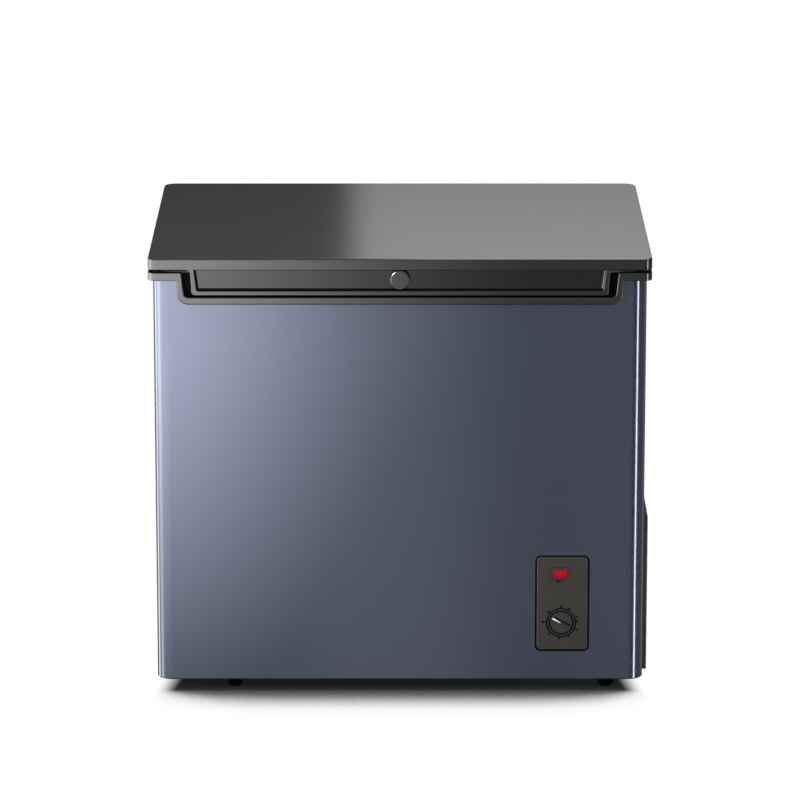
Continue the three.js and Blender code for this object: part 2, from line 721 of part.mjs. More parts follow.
// Up the bay, then to and fro behind the skin, and down again behind the bends.
function condenserRoute() {
  const inset = SHEET + SEAT + CONDENSER_TUBE;
  const side = BODY_SIDE - inset;
  const front = BODY_FRONT + inset;
  const turnY = REAR_PANEL_INNER - CONDENSER_TURN;
  const first = BAY_TOP + CONDENSER_OVER;
  const startX = side - CONDENSER_START_INSET;
  const route = [at(startX, turnY, CONDENSER_END), at(startX, turnY, first)];
  for (let pass = 0; pass < CONDENSER_PASSES; pass += 1) {
    const z = first + pass * CONDENSER_PITCH;
    const start = pass % 2 === 0 ? side : -side;
    if (pass > 0) route.push(at(start, turnY, z));
    else route.push(at(start, turnY - CONDENSER_START_INSET, z));
    route.push(at(start, front, z), at(-start, front, z), at(-start, turnY, z));
  }
  const last = first + (CONDENSER_PASSES - 1) * CONDENSER_PITCH;
  const returnY = REAR_PANEL_INNER - CONDENSER_RETURN;
  const over = DRIER_TOP + DRIER_CONE + DRIER_NECK;
  route.pop();
  route.push(at(side, returnY, last), at(side, returnY, over));
  route.push(at(DRIER_X, DRIER_Y, over), at(DRIER_X, DRIER_Y, DRIER_TOP + SEAT));
  return route;
}

// --- Cabinet ---------------------------------------------------------------

function outerWrapper() {
  const top = LINER_TOP;
  const skin = upright(bodyOutline(0), FOOT_HEIGHT, top);
  const room = upright(bodyOutline(SHEET), FOOT_HEIGHT + SHEET, top + 1);
  const rearSide = BODY_SIDE - REAR_FLANGE;
  const rearWindow = block(-rearSide, rearSide, BODY_BACK - 5, BODY_BACK + 5, FOOT_HEIGHT + SHEET, top + 1);
  const bottomSide = BODY_SIDE - BOTTOM_FLANGE;
  const bottomWindow = block(
    -bottomSide, bottomSide, BODY_FRONT + BOTTOM_FLANGE, BODY_BACK - BOTTOM_FLANGE,
    FOOT_HEIGHT - 1, FOOT_HEIGHT + SHEET + 1,
  );
  const notch = across(notchShape(NOTCH_WALL + SEAT), BODY_FRONT - 1, BODY_FRONT + 5);
  const gap = PLATE_GAP;
  const controlWindow = across(plateOutline(gap), BODY_FRONT - 1, BODY_FRONT + 5);
  const sideWindow = block(
    BODY_SIDE - 2, BODY_SIDE + 2, COVER_Y0 + COVER_RIM, COVER_Y1 - COVER_RIM,
    COVER_BOTTOM + COVER_RIM, COVER_FULL - COVER_RIM,
  );
  return cut(skin, room, rearWindow, bottomWindow, notch, controlWindow, sideWindow, ...footHoles(SEAT));
}

const COVER_Y0 = FRONT + COVER_FRONT;
const COVER_Y1 = BODY_BACK - COVER_REAR;

function plateOutline(grow) {
  const a = PLATE_WIDTH / 2 + grow;
  const b = PLATE_HEIGHT / 2 + grow;
  return rectangle(PLATE_X - a, PLATE_X + a, PLATE_Z - b, PLATE_Z + b, Math.max(PLATE_RADIUS + grow, 0.5));
}

function rearPanel() {
  const inset = SHEET + SEAT;
  const side = BODY_SIDE - inset;
  const panel = block(-side, side, REAR_PANEL_INNER, REAR_PANEL_OUTER, PAN_TOP + SEAT, LINER_TOP);
  const beads = [];
  const low = BAY_TOP + 40;
  const spacing = (LINER_TOP - HINGE_PLATE_HEIGHT - 40 - low) / (REAR_BEADS - 1);
  for (let i = 0; i < REAR_BEADS; i += 1) {
    const z = low + i * spacing;
    const half = REAR_BEAD_WIDTH / 2;
    const reach = BODY_SIDE - REAR_FLANGE - 24;
    const bead = rectangle(-reach, reach, z - half, z + half, half);
    beads.push(across(bead, REAR_PANEL_OUTER - SHEET / 2, REAR_PANEL_OUTER + REAR_BEAD, 0, 1, 1));
  }
  const bay = block(
    REAR_COVER.x0 + REAR_COVER_MARGIN, REAR_COVER.x1 - REAR_COVER_MARGIN, REAR_PANEL_INNER - 1,
    REAR_PANEL_OUTER + 1, REAR_COVER.z0 + REAR_COVER_MARGIN, REAR_COVER.z1 - REAR_COVER_MARGIN,
  );
  return cut(join(panel, ...beads), bay, ...hingeScrewHoles());
}

const REAR_COVER = {
  x0: BAY_WALL_X + 4,
  x1: BODY_SIDE - REAR_FLANGE - SEAT,
  z0: PAN_TOP + 8,
  z1: BAY_TOP - 4,
};

function basePan() {
  const side = SKIN_INNER_SIDE;
  const front = SKIN_INNER_FRONT;
  const back = REAR_PANEL_INNER - SEAT;
  const right = BAY_WALL_X - SHEET - SEAT;
  const radius = BODY_RADIUS - SHEET - SEAT;
  const sheet = outline([
    [-side, front, radius],
    [right, front],
    [right, back],
    [-side, back],
  ]);
  const pan = upright(sheet, PAN_BOTTOM, PAN_TOP);
  const margin = BOTTOM_FLANGE + PAN_BEAD_WIDTH;
  const beads = [];
  for (let i = 0; i < PAN_BEADS; i += 1) {
    const x = -side + ((i + 0.5) * (right + side)) / PAN_BEADS;
    const half = PAN_BEAD_WIDTH / 2;
    const bead = rectangle(x - half, x + half, front + margin, back - margin, half);
    beads.push(upright(bead, PAN_BOTTOM - PAN_BEAD, PAN_BOTTOM + SHEET / 2, 0, 1, 1));
  }
  return cut(join(pan, ...beads), ...footHoles(SEAT));
}

// Bent sheet: wall and ceiling of the compressor bay.
function compartmentShield() {
  const back = REAR_PANEL_INNER - SEAT;
  const bend = outline([
    [BAY_WALL_X - SHEET, PAN_BOTTOM],
    [BAY_WALL_X, PAN_BOTTOM],
    [BAY_WALL_X, BAY_TOP - SHEET],
    [SKIN_INNER_SIDE, BAY_TOP - SHEET],
    [SKIN_INNER_SIDE, BAY_TOP],
    [BAY_WALL_X - SHEET, BAY_TOP],
  ]);
  const corner = cut(
    block(-BEYOND, BEYOND, -BEYOND, back, 0, BEYOND),
    upright(bodyOutline(SHEET + SEAT), -PAST, BEYOND + PAST),
  );
  return cut(across(bend, SKIN_INNER_FRONT, back), corner, ...tubeDrops(TUBE_HOLE));
}

// Straight stretches of the tubes that pass the bay's ceiling.
function tubeDrops(play) {
  const evaporator = evaporatorRoute();
  const condenser = condenserRoute();
  const drops = [
    [evaporator[0], EVAPORATOR_TUBE],
    [evaporator[evaporator.length - 1], EVAPORATOR_TUBE],
    [condenser[0], CONDENSER_TUBE],
    [condenser[condenser.length - 3], CONDENSER_TUBE],
  ];
  return drops.map(([place, radius]) => rodZ(BAY_TOP - 5, BAY_TOP + 5, place.x, place.y, radius + play, 8));
}

function compressorTray() {
  const x0 = BAY_WALL_X + SEAT;
  const x1 = SKIN_INNER_SIDE;
  const back = REAR_PANEL_INNER - SEAT;
  const radius = BODY_RADIUS - SHEET - SEAT;
  const sheet = outline([
    [x0, SKIN_INNER_FRONT],
    [x1, SKIN_INNER_FRONT, radius],
    [x1, back],
    [x0, back],
  ]);
  const plate = upright(sheet, PAN_BOTTOM, TRAY_TOP);
  const wall = TRAY_THICKNESS;
  const flanges = block(x0, x0 + wall, SKIN_INNER_FRONT, back, PAN_BOTTOM, TRAY_TOP + TRAY_FLANGE);
  const studTop = FEET_UNDER + FEET_PLATE + SEAT + GROMMET_CAP + STUD_TALL;
  const studs = grommetPlaces().map(([x, y]) => rodZ(PAN_BOTTOM, studTop, x, y, STUD_RADIUS, 8));
  const slots = [];
  for (let i = 0; i < TRAY_SLOTS; i += 1) {
    const y = SKIN_INNER_FRONT + TRAY_SLOT_FIRST + i * TRAY_SLOT_PITCH;
    const a = TRAY_SLOT_LENGTH / 2;
    const b = TRAY_SLOT_WIDTH / 2;
    const slot = rectangle(COMPRESSOR_X - a, COMPRESSOR_X + a, y - b, y + b, b);
    slots.push(upright(slot, PAN_BOTTOM - PAST, TRAY_TOP + PAST, 0, 1, 1));
  }
  return cut(join(plate, flanges, ...studs), ...slots, ...footHoles(SEAT));
}

function grommetPlaces() {
  const places = [];
  for (const sx of [-1, 1]) {
    for (const sy of [-1, 1]) {
      places.push([COMPRESSOR_X + (sx * FEET_SPAN_X) / 2, COMPRESSOR_Y + (sy * FEET_SPAN_Y) / 2]);
    }
  }
  return places;
}

function insulationFoam() {
  const inset = SHEET + SEAT;
  const back = REAR_PANEL_INNER - SEAT;
  const whole = upright(bodyOutline(inset, back), PAN_TOP + SEAT, LINER_TOP - SHEET - SEAT);
  const bay = block(
    BAY_WALL_X - SHEET - SEAT, BODY_SIDE + 1, BODY_FRONT - 1, BODY_BACK + 1, 0, BAY_TOP + SEAT,
  );
  const collarTub = across(notchShape(NOTCH_WALL + SEAT), FRONT, NOTCH_BACK + NOTCH_WALL + SEAT);
  return cut(
    whole, bay, tankRoom(LINER_WALL + SEAT), collarTub,
    channel(evaporatorRoute(), EVAPORATOR_TUBE, EVAPORATOR_BEND),
    channel(condenserRoute(), CONDENSER_TUBE, CONDENSER_BEND),
    ...footHoles(2 * SEAT), ...hingeScrewHoles(),
  );
}

const NOTCH_BACK = FRONT + NOTCH_DEPTH; // front face of the collar behind the apron

function innerLiner() {
  const rim = upright(
    rectangle(
      -TANK_SIDE - LINER_FLANGE, TANK_SIDE + LINER_FLANGE, TANK_FRONT - LINER_FLANGE,
      TANK_BACK + LINER_FLANGE, TANK_RADIUS + LINER_FLANGE,
    ),
    LINER_TOP - SHEET, LINER_TOP,
  );
  const above = block(-BEYOND, BEYOND, -BEYOND, BEYOND, LINER_TOP, BEYOND);
  return cut(join(tankRoom(LINER_WALL), rim), above, tankRoom(0));
}

function topCollar() {
  const back = BODY_BACK + SKIN_INSET;
  const outer = rectangle(-LID_SIDE, LID_SIDE, FRONT, back, LID_FRONT_RADIUS, COLLAR_BACK_RADIUS);
  const frame = upright(outer, COLLAR_UNDER, COLLAR_TOP, COLLAR_EDGE, 1);
  const skirtRoom = upright(bodyOutline(-SEAT), COLLAR_UNDER - 1, LAND - COLLAR_PLATE);
  const lip = SKIN_INSET - SEAT;
  const landRoom = upright(
    rectangle(
      -LID_SIDE + lip, LID_SIDE - lip, FRONT + lip, back - lip,
      LID_FRONT_RADIUS - lip, COLLAR_BACK_RADIUS - lip,
    ),
    LAND, COLLAR_TOP + 1,
  );
  const border = outline([
    [-NOTCH_OUTER, LAND],
    [-NOTCH_OUTER, NOTCH_FLOOR - NOTCH_BORDER, NOTCH_BORDER_RADIUS],
    [NOTCH_OUTER, NOTCH_FLOOR - NOTCH_BORDER, NOTCH_BORDER_RADIUS],
    [NOTCH_OUTER, LAND],
  ]);
  const panel = across(border, FRONT, BODY_FRONT - SEAT, NOTCH_BORDER_EDGE, 1);
  const tub = cut(
    across(notchShape(NOTCH_WALL), FRONT + NOTCH_BORDER_EDGE, NOTCH_BACK + NOTCH_WALL),
    block(-BEYOND, BEYOND, -BEYOND, BEYOND, LAND, BEYOND),
  );
  const throat = upright(mouthOutline(-COLLAR_THROAT_WALL), LAND - COLLAR_THROAT, LAND);
  const notch = across(notchShape(0), FRONT - 1, NOTCH_BACK);
  const mouth = upright(mouthOutline(0), LAND - COLLAR_THROAT - 1, COLLAR_TOP + 1);
  return cut(join(cut(frame, skirtRoom, landRoom), panel, tub, throat), notch, mouth);
}

const NOTCH_OUTER = APRON_HALF + NOTCH_GAP + NOTCH_LEG;

// --- Refrigeration ---------------------------------------------------------

// Welded steel pot on a feet plate, with the pinched-off filling tube.
function compressor() {
  const r = COMPRESSOR_RADIUS;
  const top = POT_BASE + COMPRESSOR_BODY;
  const seam = POT_BASE + COMPRESSOR_BODY * POT_SEAM_AT;
  const pot = turned([
    [0, POT_BASE],
    [r * 0.7, POT_BASE + POT_DISH * 0.12],
    [r, POT_BASE + POT_DISH],
    [r, seam],
    [r + COMPRESSOR_SEAM, seam],
    [r + COMPRESSOR_SEAM, seam + SEAM_HEIGHT],
    [r, seam + SEAM_HEIGHT],
    [r * 0.95, top - POT_DOME],
    [r * 0.6, top - POT_DOME * 0.13],
    [0, top],
  ], COMPRESSOR_X, COMPRESSOR_Y, POT_SIDES);
  const margin = GROMMET_RADIUS + 2;
  const halfX = FEET_SPAN_X / 2 + margin;
  const halfY = FEET_SPAN_Y / 2 + margin;
  const feet = upright(
    rectangle(
      COMPRESSOR_X - halfX, COMPRESSOR_X + halfX, COMPRESSOR_Y - halfY, COMPRESSOR_Y + halfY,
      GROMMET_RADIUS,
    ),
    FEET_UNDER, FEET_UNDER + FEET_PLATE,
  );
  const saddle = rodZ(FEET_UNDER, POT_BASE + SADDLE_TALL, COMPRESSOR_X, COMPRESSOR_Y, r * 0.6);
  const holes = grommetPlaces().map(([x, y]) => (
    rodZ(FEET_UNDER - PAST, FEET_UNDER + FEET_PLATE + PAST, x, y, GROMMET_NECK + SEAT)
  ));
  const low = POT_BASE + FILL_TUBE_Z;
  const stub = tube([
    at(COMPRESSOR_X - r * 0.6, COMPRESSOR_Y - r * 0.6, low),
    at(COMPRESSOR_X - r, COMPRESSOR_Y - r, low),
    at(COMPRESSOR_X - r, COMPRESSOR_Y - r, low + FILL_TUBE_TALL),
  ], FILL_TUBE, TUBE_BEND);
  return cut(join(pot, feet, saddle, stub), ...holes);
}

function grommet([x, y]) {
  const neck = STUD_RADIUS + SEAT;
  const low = TRAY_TOP + SEAT;
  const under = FEET_UNDER - SEAT;
  const over = FEET_UNDER + FEET_PLATE + SEAT;
  return turned([
    [neck, low],
    [GROMMET_RADIUS, low],
    [GROMMET_RADIUS, under],
    [GROMMET_NECK, under],
    [GROMMET_NECK, over],
    [GROMMET_NECK + 2, over],
    [GROMMET_NECK + 1, over + GROMMET_CAP],
    [neck, over + GROMMET_CAP],
    [neck, low],
  ], x, y, 8);
}

// Plastic cap over the compressor's terminals, on its front.
function starterRelay() {
  const near = COMPRESSOR_Y - COMPRESSOR_RADIUS;
  const low = FEET_UNDER + RELAY_Z;
  const high = low + RELAY_HEIGHT;
  const half = RELAY_WIDTH / 2;
  const box = block(
    COMPRESSOR_X - half, COMPRESSOR_X + half, near - RELAY_PROUD, near + RELAY_PROUD / 2, low, high,
  );
  const lug = block(
    COMPRESSOR_X - half / 3, COMPRESSOR_X + half / 3, near - RELAY_PROUD - RELAY_PLUG, near - RELAY_PROUD + PAST,
    low + RELAY_HEIGHT / 4, high - RELAY_HEIGHT / 3,
  );
  const clear = rodZ(low - PAST, high + PAST, COMPRESSOR_X, COMPRESSOR_Y, POT_REACH, POT_SIDES);
  return cut(join(box, lug), clear);
}

function filterDrier() {
  const neck = CONDENSER_TUBE + 0.8;
  const low = DRIER_TOP - DRIER_LENGTH;
  return turned([
    [0, low],
    [neck, low],
    [neck, low + DRIER_NECK],
    [DRIER_RADIUS, low + DRIER_NECK + DRIER_CONE],
    [DRIER_RADIUS, DRIER_TOP - DRIER_NECK - DRIER_CONE],
    [neck, DRIER_TOP - DRIER_NECK],
    [neck, DRIER_TOP],
    [0, DRIER_TOP],
  ], DRIER_X, DRIER_Y, 10);
}

// From the compressor's side to the condenser's start.
function dischargeTube() {
  const end = condenserRoute()[0];
  const z = FEET_UNDER + PORT_Z + TUBE_BEND;
  return tube([
    at(COMPRESSOR_X + POT_REACH, COMPRESSOR_Y, z),
    at(end.x, COMPRESSOR_Y, z),
    at(end.x, end.y, z + 3 * TUBE_BEND),
    at(end.x, end.y, end.z - SEAT),
  ], CONDENSER_TUBE, TUBE_BEND);
}

// From the evaporator's end down to the compressor's rear.
function suctionTube() {
  const route = evaporatorRoute();
  const start = route[route.length - 1];
  const z = FEET_UNDER + PORT_Z;
  const off = start.x - COMPRESSOR_X;
  return tube([
    at(start.x, start.y, start.z - SEAT),
    at(start.x, start.y, z),
    at(start.x, COMPRESSOR_Y + Math.sqrt(POT_REACH ** 2 - off ** 2), z),
  ], EVAPORATOR_TUBE, TUBE_BEND);
}

// Fine tube from the drier to the evaporator's inlet.
function capillaryTube() {
  const end = evaporatorRoute()[0];
  const low = DRIER_TOP - DRIER_LENGTH;
  const back = REAR_PANEL_INNER - CAPILLARY_FROM_BACK;
  return tube([
    at(DRIER_X, DRIER_Y, low - SEAT),
    at(DRIER_X, DRIER_Y, low - CAPILLARY_LOOP),
    at(EVAPORATOR_INLET_X, back, low - CAPILLARY_LOOP),
    at(EVAPORATOR_INLET_X, back, end.z - 3 * TUBE_BEND),
    at(end.x, end.y, end.z - 2 * TUBE_BEND),
    at(end.x, end.y, end.z - SEAT),
  ], CAPILLARY_TUBE, TUBE_BEND, 4);
}

// --- Covers ----------------------------------------------------------------

// Shallow black tray over the bay's side opening, with slanted louvre blades.
function sideVentCover() {
  const inner = BODY_SIDE + SEAT;
  const outerFace = LID_SIDE;
  const profile = outline([
    [inner, COVER_BOTTOM],
    [outerFace, COVER_BOTTOM, COVER_EDGE],
    [outerFace, COVER_FULL, COVER_EDGE],
    [inner + 1, COVER_TOP],
    [inner, COVER_TOP],
  ]);
  const wall = COVER_WALL;
  const hollow = outline([
    [inner - 1, COVER_BOTTOM + wall],
    [outerFace - wall, COVER_BOTTOM + wall],
    [outerFace - wall, COVER_FULL],
    [inner - 1, COVER_FULL + 8],
  ]);
  const shell = cut(
    across(profile, COVER_Y0, COVER_Y1),
    across(hollow, COVER_Y0 + wall, COVER_Y1 - wall),
  );
  const { slots, blades } = louvres();
  return join(cut(shell, ...slots), ...blades);
}

function louvres() {
  const outerFace = LID_SIDE;
  const from = COVER_Y0 + LOUVRE_BRIDGE;
  const to = COVER_Y1 - LOUVRE_BRIDGE;
  const width = (to - from - (LOUVRE_COLUMNS - 1) * LOUVRE_BRIDGE) / LOUVRE_COLUMNS;
  const slots = [];
  const blades = [];
  for (let column = 0; column < LOUVRE_COLUMNS; column += 1) {
    const y0 = from + column * (width + LOUVRE_BRIDGE);
    for (let row = 0; row < LOUVRE_ROWS; row += 1) {
      const z = LOUVRE_LOW + row * LOUVRE_PITCH;
      slots.push(block(outerFace - COVER_WALL - 1, outerFace + 1, y0, y0 + width, z, z + LOUVRE_OPEN));
      const blade = new THREE.BoxGeometry(LOUVRE_BLADE, width + 2, LOUVRE_BLADE_THICKNESS);
      blade.translate(-LOUVRE_BLADE / 2, 0, 0);
      blade.rotateY(THREE.MathUtils.degToRad(-LOUVRE_ANGLE));
      blade.translate(outerFace - COVER_WALL / 2, y0 + width / 2, z + LOUVRE_OPEN + LOUVRE_BLADE_THICKNESS);
      blades.push(solid(blade));
    }
  }
  return { slots, blades };
}

function rearVentCover() {
  const y0 = REAR_PANEL_OUTER + SEAT;
  const y1 = y0 + REAR_COVER_THICKNESS;
  const plate = across(rectangle(REAR_COVER.x0, REAR_COVER.x1, REAR_COVER.z0, REAR_COVER.z1, 4), y0, y1);
  const slots = [];
  const from = REAR_COVER.x0 + REAR_SLOT_BRIDGE;
  const to = REAR_COVER.x1 - REAR_SLOT_BRIDGE;
  const width = (to - from - (REAR_SLOT_COLUMNS - 1) * REAR_SLOT_BRIDGE) / REAR_SLOT_COLUMNS;
  for (let column = 0; column < REAR_SLOT_COLUMNS; column += 1) {
    const x0 = from + column * (width + REAR_SLOT_BRIDGE);
    for (let row = 0; row < REAR_SLOT_ROWS; row += 1) {
      const z = REAR_COVER.z1 - REAR_SLOT_BRIDGE - row * REAR_SLOT_PITCH;
      const half = REAR_SLOT_HEIGHT / 2;
      slots.push(block(x0, x0 + width, y0 - 1, y1 + 1, z - half, z + half));
    }
  }
  const bore = rodY(y0 - 1, y1 + 1, GLAND_X, GLAND_Z, GLAND_RADIUS + SEAT);
  return cut(plate, ...slots, bore);
}

const GLAND_OFF = REAR_COVER_MARGIN + GLAND_INSET + GLAND_RADIUS;
const GLAND_X = REAR_COVER.x1 - GLAND_OFF;
const GLAND_Z = REAR_COVER.z0 + GLAND_OFF;

// Bush that the supply lead leaves by.
function cordGland() {
  const inner = REAR_PANEL_OUTER + SEAT - 4;
  const plateBack = REAR_PANEL_OUTER + SEAT + REAR_COVER_THICKNESS;
  return turnedAcross([
    [GLAND_BORE, inner],
    [GLAND_RADIUS - 1, inner],
    [GLAND_RADIUS, inner + 2],
    [GLAND_RADIUS, plateBack + SEAT],
    [GLAND_FLANGE, plateBack + SEAT],
    [GLAND_FLANGE - 1, plateBack + SEAT + 2],
    [GLAND_BORE, plateBack + SEAT + 3],
    [GLAND_BORE, inner],
  ], GLAND_X, GLAND_Z, 12);
}

// --- Controls --------------------------------------------------------------

function controlPlate() {
  const plate = across(plateOutline(0), PLATE_FACE, PLATE_REAR, 0.4, 1);
  const grooveRadius = DIAL_RADIUS + DIAL_GAP + DIAL_RIM;
  const groove = turnedAcross([
    [grooveRadius, PLATE_FACE - 1],
    [grooveRadius + DIAL_GROOVE, PLATE_FACE - 1],
    [grooveRadius + DIAL_GROOVE, PLATE_FACE + DIAL_GROOVE_DEPTH],
    [grooveRadius, PLATE_FACE + DIAL_GROOVE_DEPTH],
    [grooveRadius, PLATE_FACE - 1],
  ], DIAL_X, DIAL_Z, 20);
  const hole = rodY(PLATE_FACE - 1, PLATE_REAR + 1, DIAL_X, DIAL_Z, DIAL_RADIUS + DIAL_GAP, 28);
  const neck = BEZEL_WALL + SEAT;
  const window = windowBlock(2 * SEAT + neck, PLATE_FACE - 1, PLATE_REAR + 1);
  return cut(plate, groove, hole, window);
}

// Block round the lens, wider on each side by the given amount.
function windowBlock(grow, y0, y1) {
  const a = LENS_WIDTH / 2 + grow;
  const b = LENS_HEIGHT / 2 + grow;
  return block(WINDOW_X - a, WINDOW_X + a, y0, y1, WINDOW_Z - b, WINDOW_Z + b);
}

function indicatorBezel() {
  const face = PLATE_FACE - SEAT - BEZEL_PROUD;
  const flange = windowBlock(SEAT + BEZEL_WALL + BEZEL_FRAME, face, PLATE_FACE - SEAT);
  const neck = windowBlock(SEAT + BEZEL_WALL, face, face + BEZEL_DEPTH);
  return cut(join(flange, neck), windowBlock(SEAT, face - 1, face + BEZEL_DEPTH + 1));
}

function indicatorLens() {
  const a = LENS_WIDTH / 2;
  const b = LENS_HEIGHT / 2;
  const face = rectangle(WINDOW_X - a, WINDOW_X + a, WINDOW_Z - b, WINDOW_Z + b, 0.8);
  return across(face, LENS_FACE, LENS_REAR, 0, 1, 1);
}

// Neon lamp body with two blade terminals.
function indicatorLamp() {
  const back = BOX_BACK - BOX_WALL - SEAT;
  const body = windowBlock(-1.2, LENS_REAR + SEAT, back - 7);
  const blades = [-4, 4].map((x) => (
    block(WINDOW_X + x - 1, WINDOW_X + x + 1, back - 8, back, WINDOW_Z - 2.4, WINDOW_Z + 2.4)
  ));
  return join(body, ...blades);
}

// Black tub behind the skin that the plate snaps onto.
function controlBox() {
  const flange = across(plateOutline(PLATE_GAP + BOX_FLANGE), BOX_FRONT, BOX_FRONT + BOX_WALL + 1);
  const tub = across(plateOutline(BOX_WALL - BOX_LEDGE), BOX_FRONT, BOX_BACK);
  const seat = across(plateOutline(SEAT), BOX_FRONT - 1, PLATE_REAR + SEAT);
  const room = across(plateOutline(-BOX_LEDGE), BOX_FRONT - 1, BOX_BACK - BOX_WALL);
  return cut(join(flange, tub), seat, room);
}

function thermostatBody() {
  const a = THERMOSTAT_WIDTH / 2;
  const b = THERMOSTAT_HEIGHT / 2;
  const body = block(DIAL_X - a, DIAL_X + a, THERMOSTAT_FRONT, THERMOSTAT_BACK, DIAL_Z - b, DIAL_Z + b);
  const bushing = rodY(THERMOSTAT_FRONT - BUSHING_LENGTH, THERMOSTAT_FRONT + 1, DIAL_X, DIAL_Z, BUSHING_RADIUS);
  const bellows = rodX(
    DIAL_X - a - 4, DIAL_X - a + 2, (THERMOSTAT_FRONT + THERMOSTAT_BACK) / 2, DIAL_Z, 6, 12,
  );
  const bore = rodY(THERMOSTAT_FRONT - 10, THERMOSTAT_FRONT + 8, DIAL_X, DIAL_Z, SPINDLE_RADIUS + SEAT);
  return cut(join(body, bushing, bellows), bore);
}

// Disc that lies in the plate's ring, with a grip bar across it.
function thermostatKnob() {
  const face = PLATE_FACE - DIAL_PROUD;
  const back = face + DIAL_THICKNESS;
  const r = DIAL_RADIUS;
  const disc = turnedAcross([
    [0, face + 0.5],
    [r - 2.4, face + 0.5],
    [r - 1.4, face],
    [r - 0.4, face],
    [r, face + 0.4],
    [r, back],
    [HUB_RADIUS, back],
    [HUB_RADIUS, back + HUB_LENGTH],
    [0, back + HUB_LENGTH],
  ], DIAL_X, DIAL_Z, 20);
  const length = 2 * r - 1.6;
  const bar = new THREE.ExtrudeGeometry(
    rectangle(-length / 2, length / 2, -GRIP_WIDTH / 2, GRIP_WIDTH / 2, GRIP_WIDTH / 2 - 0.05),
    {
      depth: GRIP_PROUD - 0.5,
      curveSegments: ARC_STEPS,
      bevelEnabled: true,
      bevelThickness: 0.5,
      bevelSize: 0.5,
      bevelOffset: -0.5,
      bevelSegments: 1,
    },
  );
  bar.rotateZ(THREE.MathUtils.degToRad(GRIP_ANGLE));
  bar.rotateX(Math.PI / 2);
  bar.translate(DIAL_X, face + 1, DIAL_Z);
  const socket = rodY(back, back + HUB_LENGTH + 1, DIAL_X, DIAL_Z, SPINDLE_RADIUS + SEAT);
  return cut(join(disc, solid(bar)), socket);
}

function thermostatSpindle() {
  const start = PLATE_FACE - DIAL_PROUD + DIAL_THICKNESS + SEAT;
  return cut(
    rodY(start, THERMOSTAT_FRONT + 7, DIAL_X, DIAL_Z, SPINDLE_RADIUS),
    block(
      DIAL_X - 5, DIAL_X + 5, start - 1, start + HUB_LENGTH, DIAL_Z + SPINDLE_RADIUS * 0.6,
      DIAL_Z + SPINDLE_RADIUS + 1,
    ),
  );
}

// --- Feet ------------------------------------------------------------------

function foot([x, y]) {
  const top = FOOT_HEIGHT - SEAT;
  return turned([
    [0, 0],
    [FOOT_BOTTOM_RADIUS - 1.5, 0],
    [FOOT_BOTTOM_RADIUS, 1.5],
    [FOOT_TOP_RADIUS, top - 3],
    [FOOT_TOP_RADIUS, top],
    [FOOT_STUD_RADIUS, top],
    [FOOT_STUD_RADIUS, FOOT_HEIGHT + FOOT_STUD_TALL],
    [0, FOOT_HEIGHT + FOOT_STUD_TALL],
  ], x, y, 10);
}

// --- Hinges ----------------------------------------------------------------

function screwPlaces(x) {
  return [x - SCREW_SPACING / 2, x + SCREW_SPACING / 2];
}

const BASE_FACE = REAR_PANEL_OUTER + SEAT + HINGE_SHEET; // back of the hinge's base plate
const BASE_TOP = COLLAR_UNDER - 2;
const BASE_SCREW_Z = BASE_TOP - HINGE_PLATE_HEIGHT + 14;
const LEAF_FACE = LID_BACK + SEAT + HINGE_SHEET;
const LEAF_Z0 = LID_UNDER + LEAF_BOTTOM;
const LEAF_Z1 = OVERALL_HEIGHT - LID_EDGE;
const LEAF_SCREW_Z = (LEAF_Z0 + LEAF_Z1) / 2;

function hingeScrewHoles() {
  const holes = [];
  for (const hinge of [-HINGE_X, HINGE_X]) {
    for (const x of screwPlaces(hinge)) {
      holes.push(rodY(REAR_PANEL_INNER - SCREW_LENGTH, REAR_PANEL_OUTER + 1, x, BASE_SCREW_Z, SCREW_RADIUS + SEAT, 8));
    }
  }
  return holes;
}

// Base plate on the rear panel with two ears that carry the pin.
function hingeBase(x) {
  const half = HINGE_PLATE_WIDTH / 2;
  const plate = across(
    rectangle(x - half, x + half, BASE_TOP - HINGE_PLATE_HEIGHT, BASE_TOP, 4),
    REAR_PANEL_OUTER + SEAT, BASE_FACE, 0, 1, 1,
  );
  const ear = outline([
    [BASE_FACE - 1, BASE_TOP - 34],
    [PIN_Y + HINGE_EYE, PIN_Z - 12, 3],
    [PIN_Y + HINGE_EYE, PIN_Z + HINGE_EYE, HINGE_EYE * 0.98],
    [PIN_Y - HINGE_EYE, PIN_Z + HINGE_EYE, HINGE_EYE * 0.98],
    [PIN_Y - HINGE_EYE, BASE_TOP - 1],
    [BASE_FACE - 1, BASE_TOP - 1],
  ]);
  const ears = [-HINGE_EAR_SPAN, HINGE_EAR_SPAN].map((off) => (
    sideways(ear, x + off - HINGE_SHEET / 2, x + off + HINGE_SHEET / 2)
  ));
  const bore = rodX(x - half, x + half, PIN_Y, PIN_Z, HINGE_PIN_RADIUS + SEAT);
  const holes = screwPlaces(x).map((sx) => (
    rodY(REAR_PANEL_OUTER, BASE_FACE + 1, sx, BASE_SCREW_Z, SCREW_RADIUS + SEAT, 8)
  ));
  return cut(join(plate, ...ears), bore, ...holes);
}

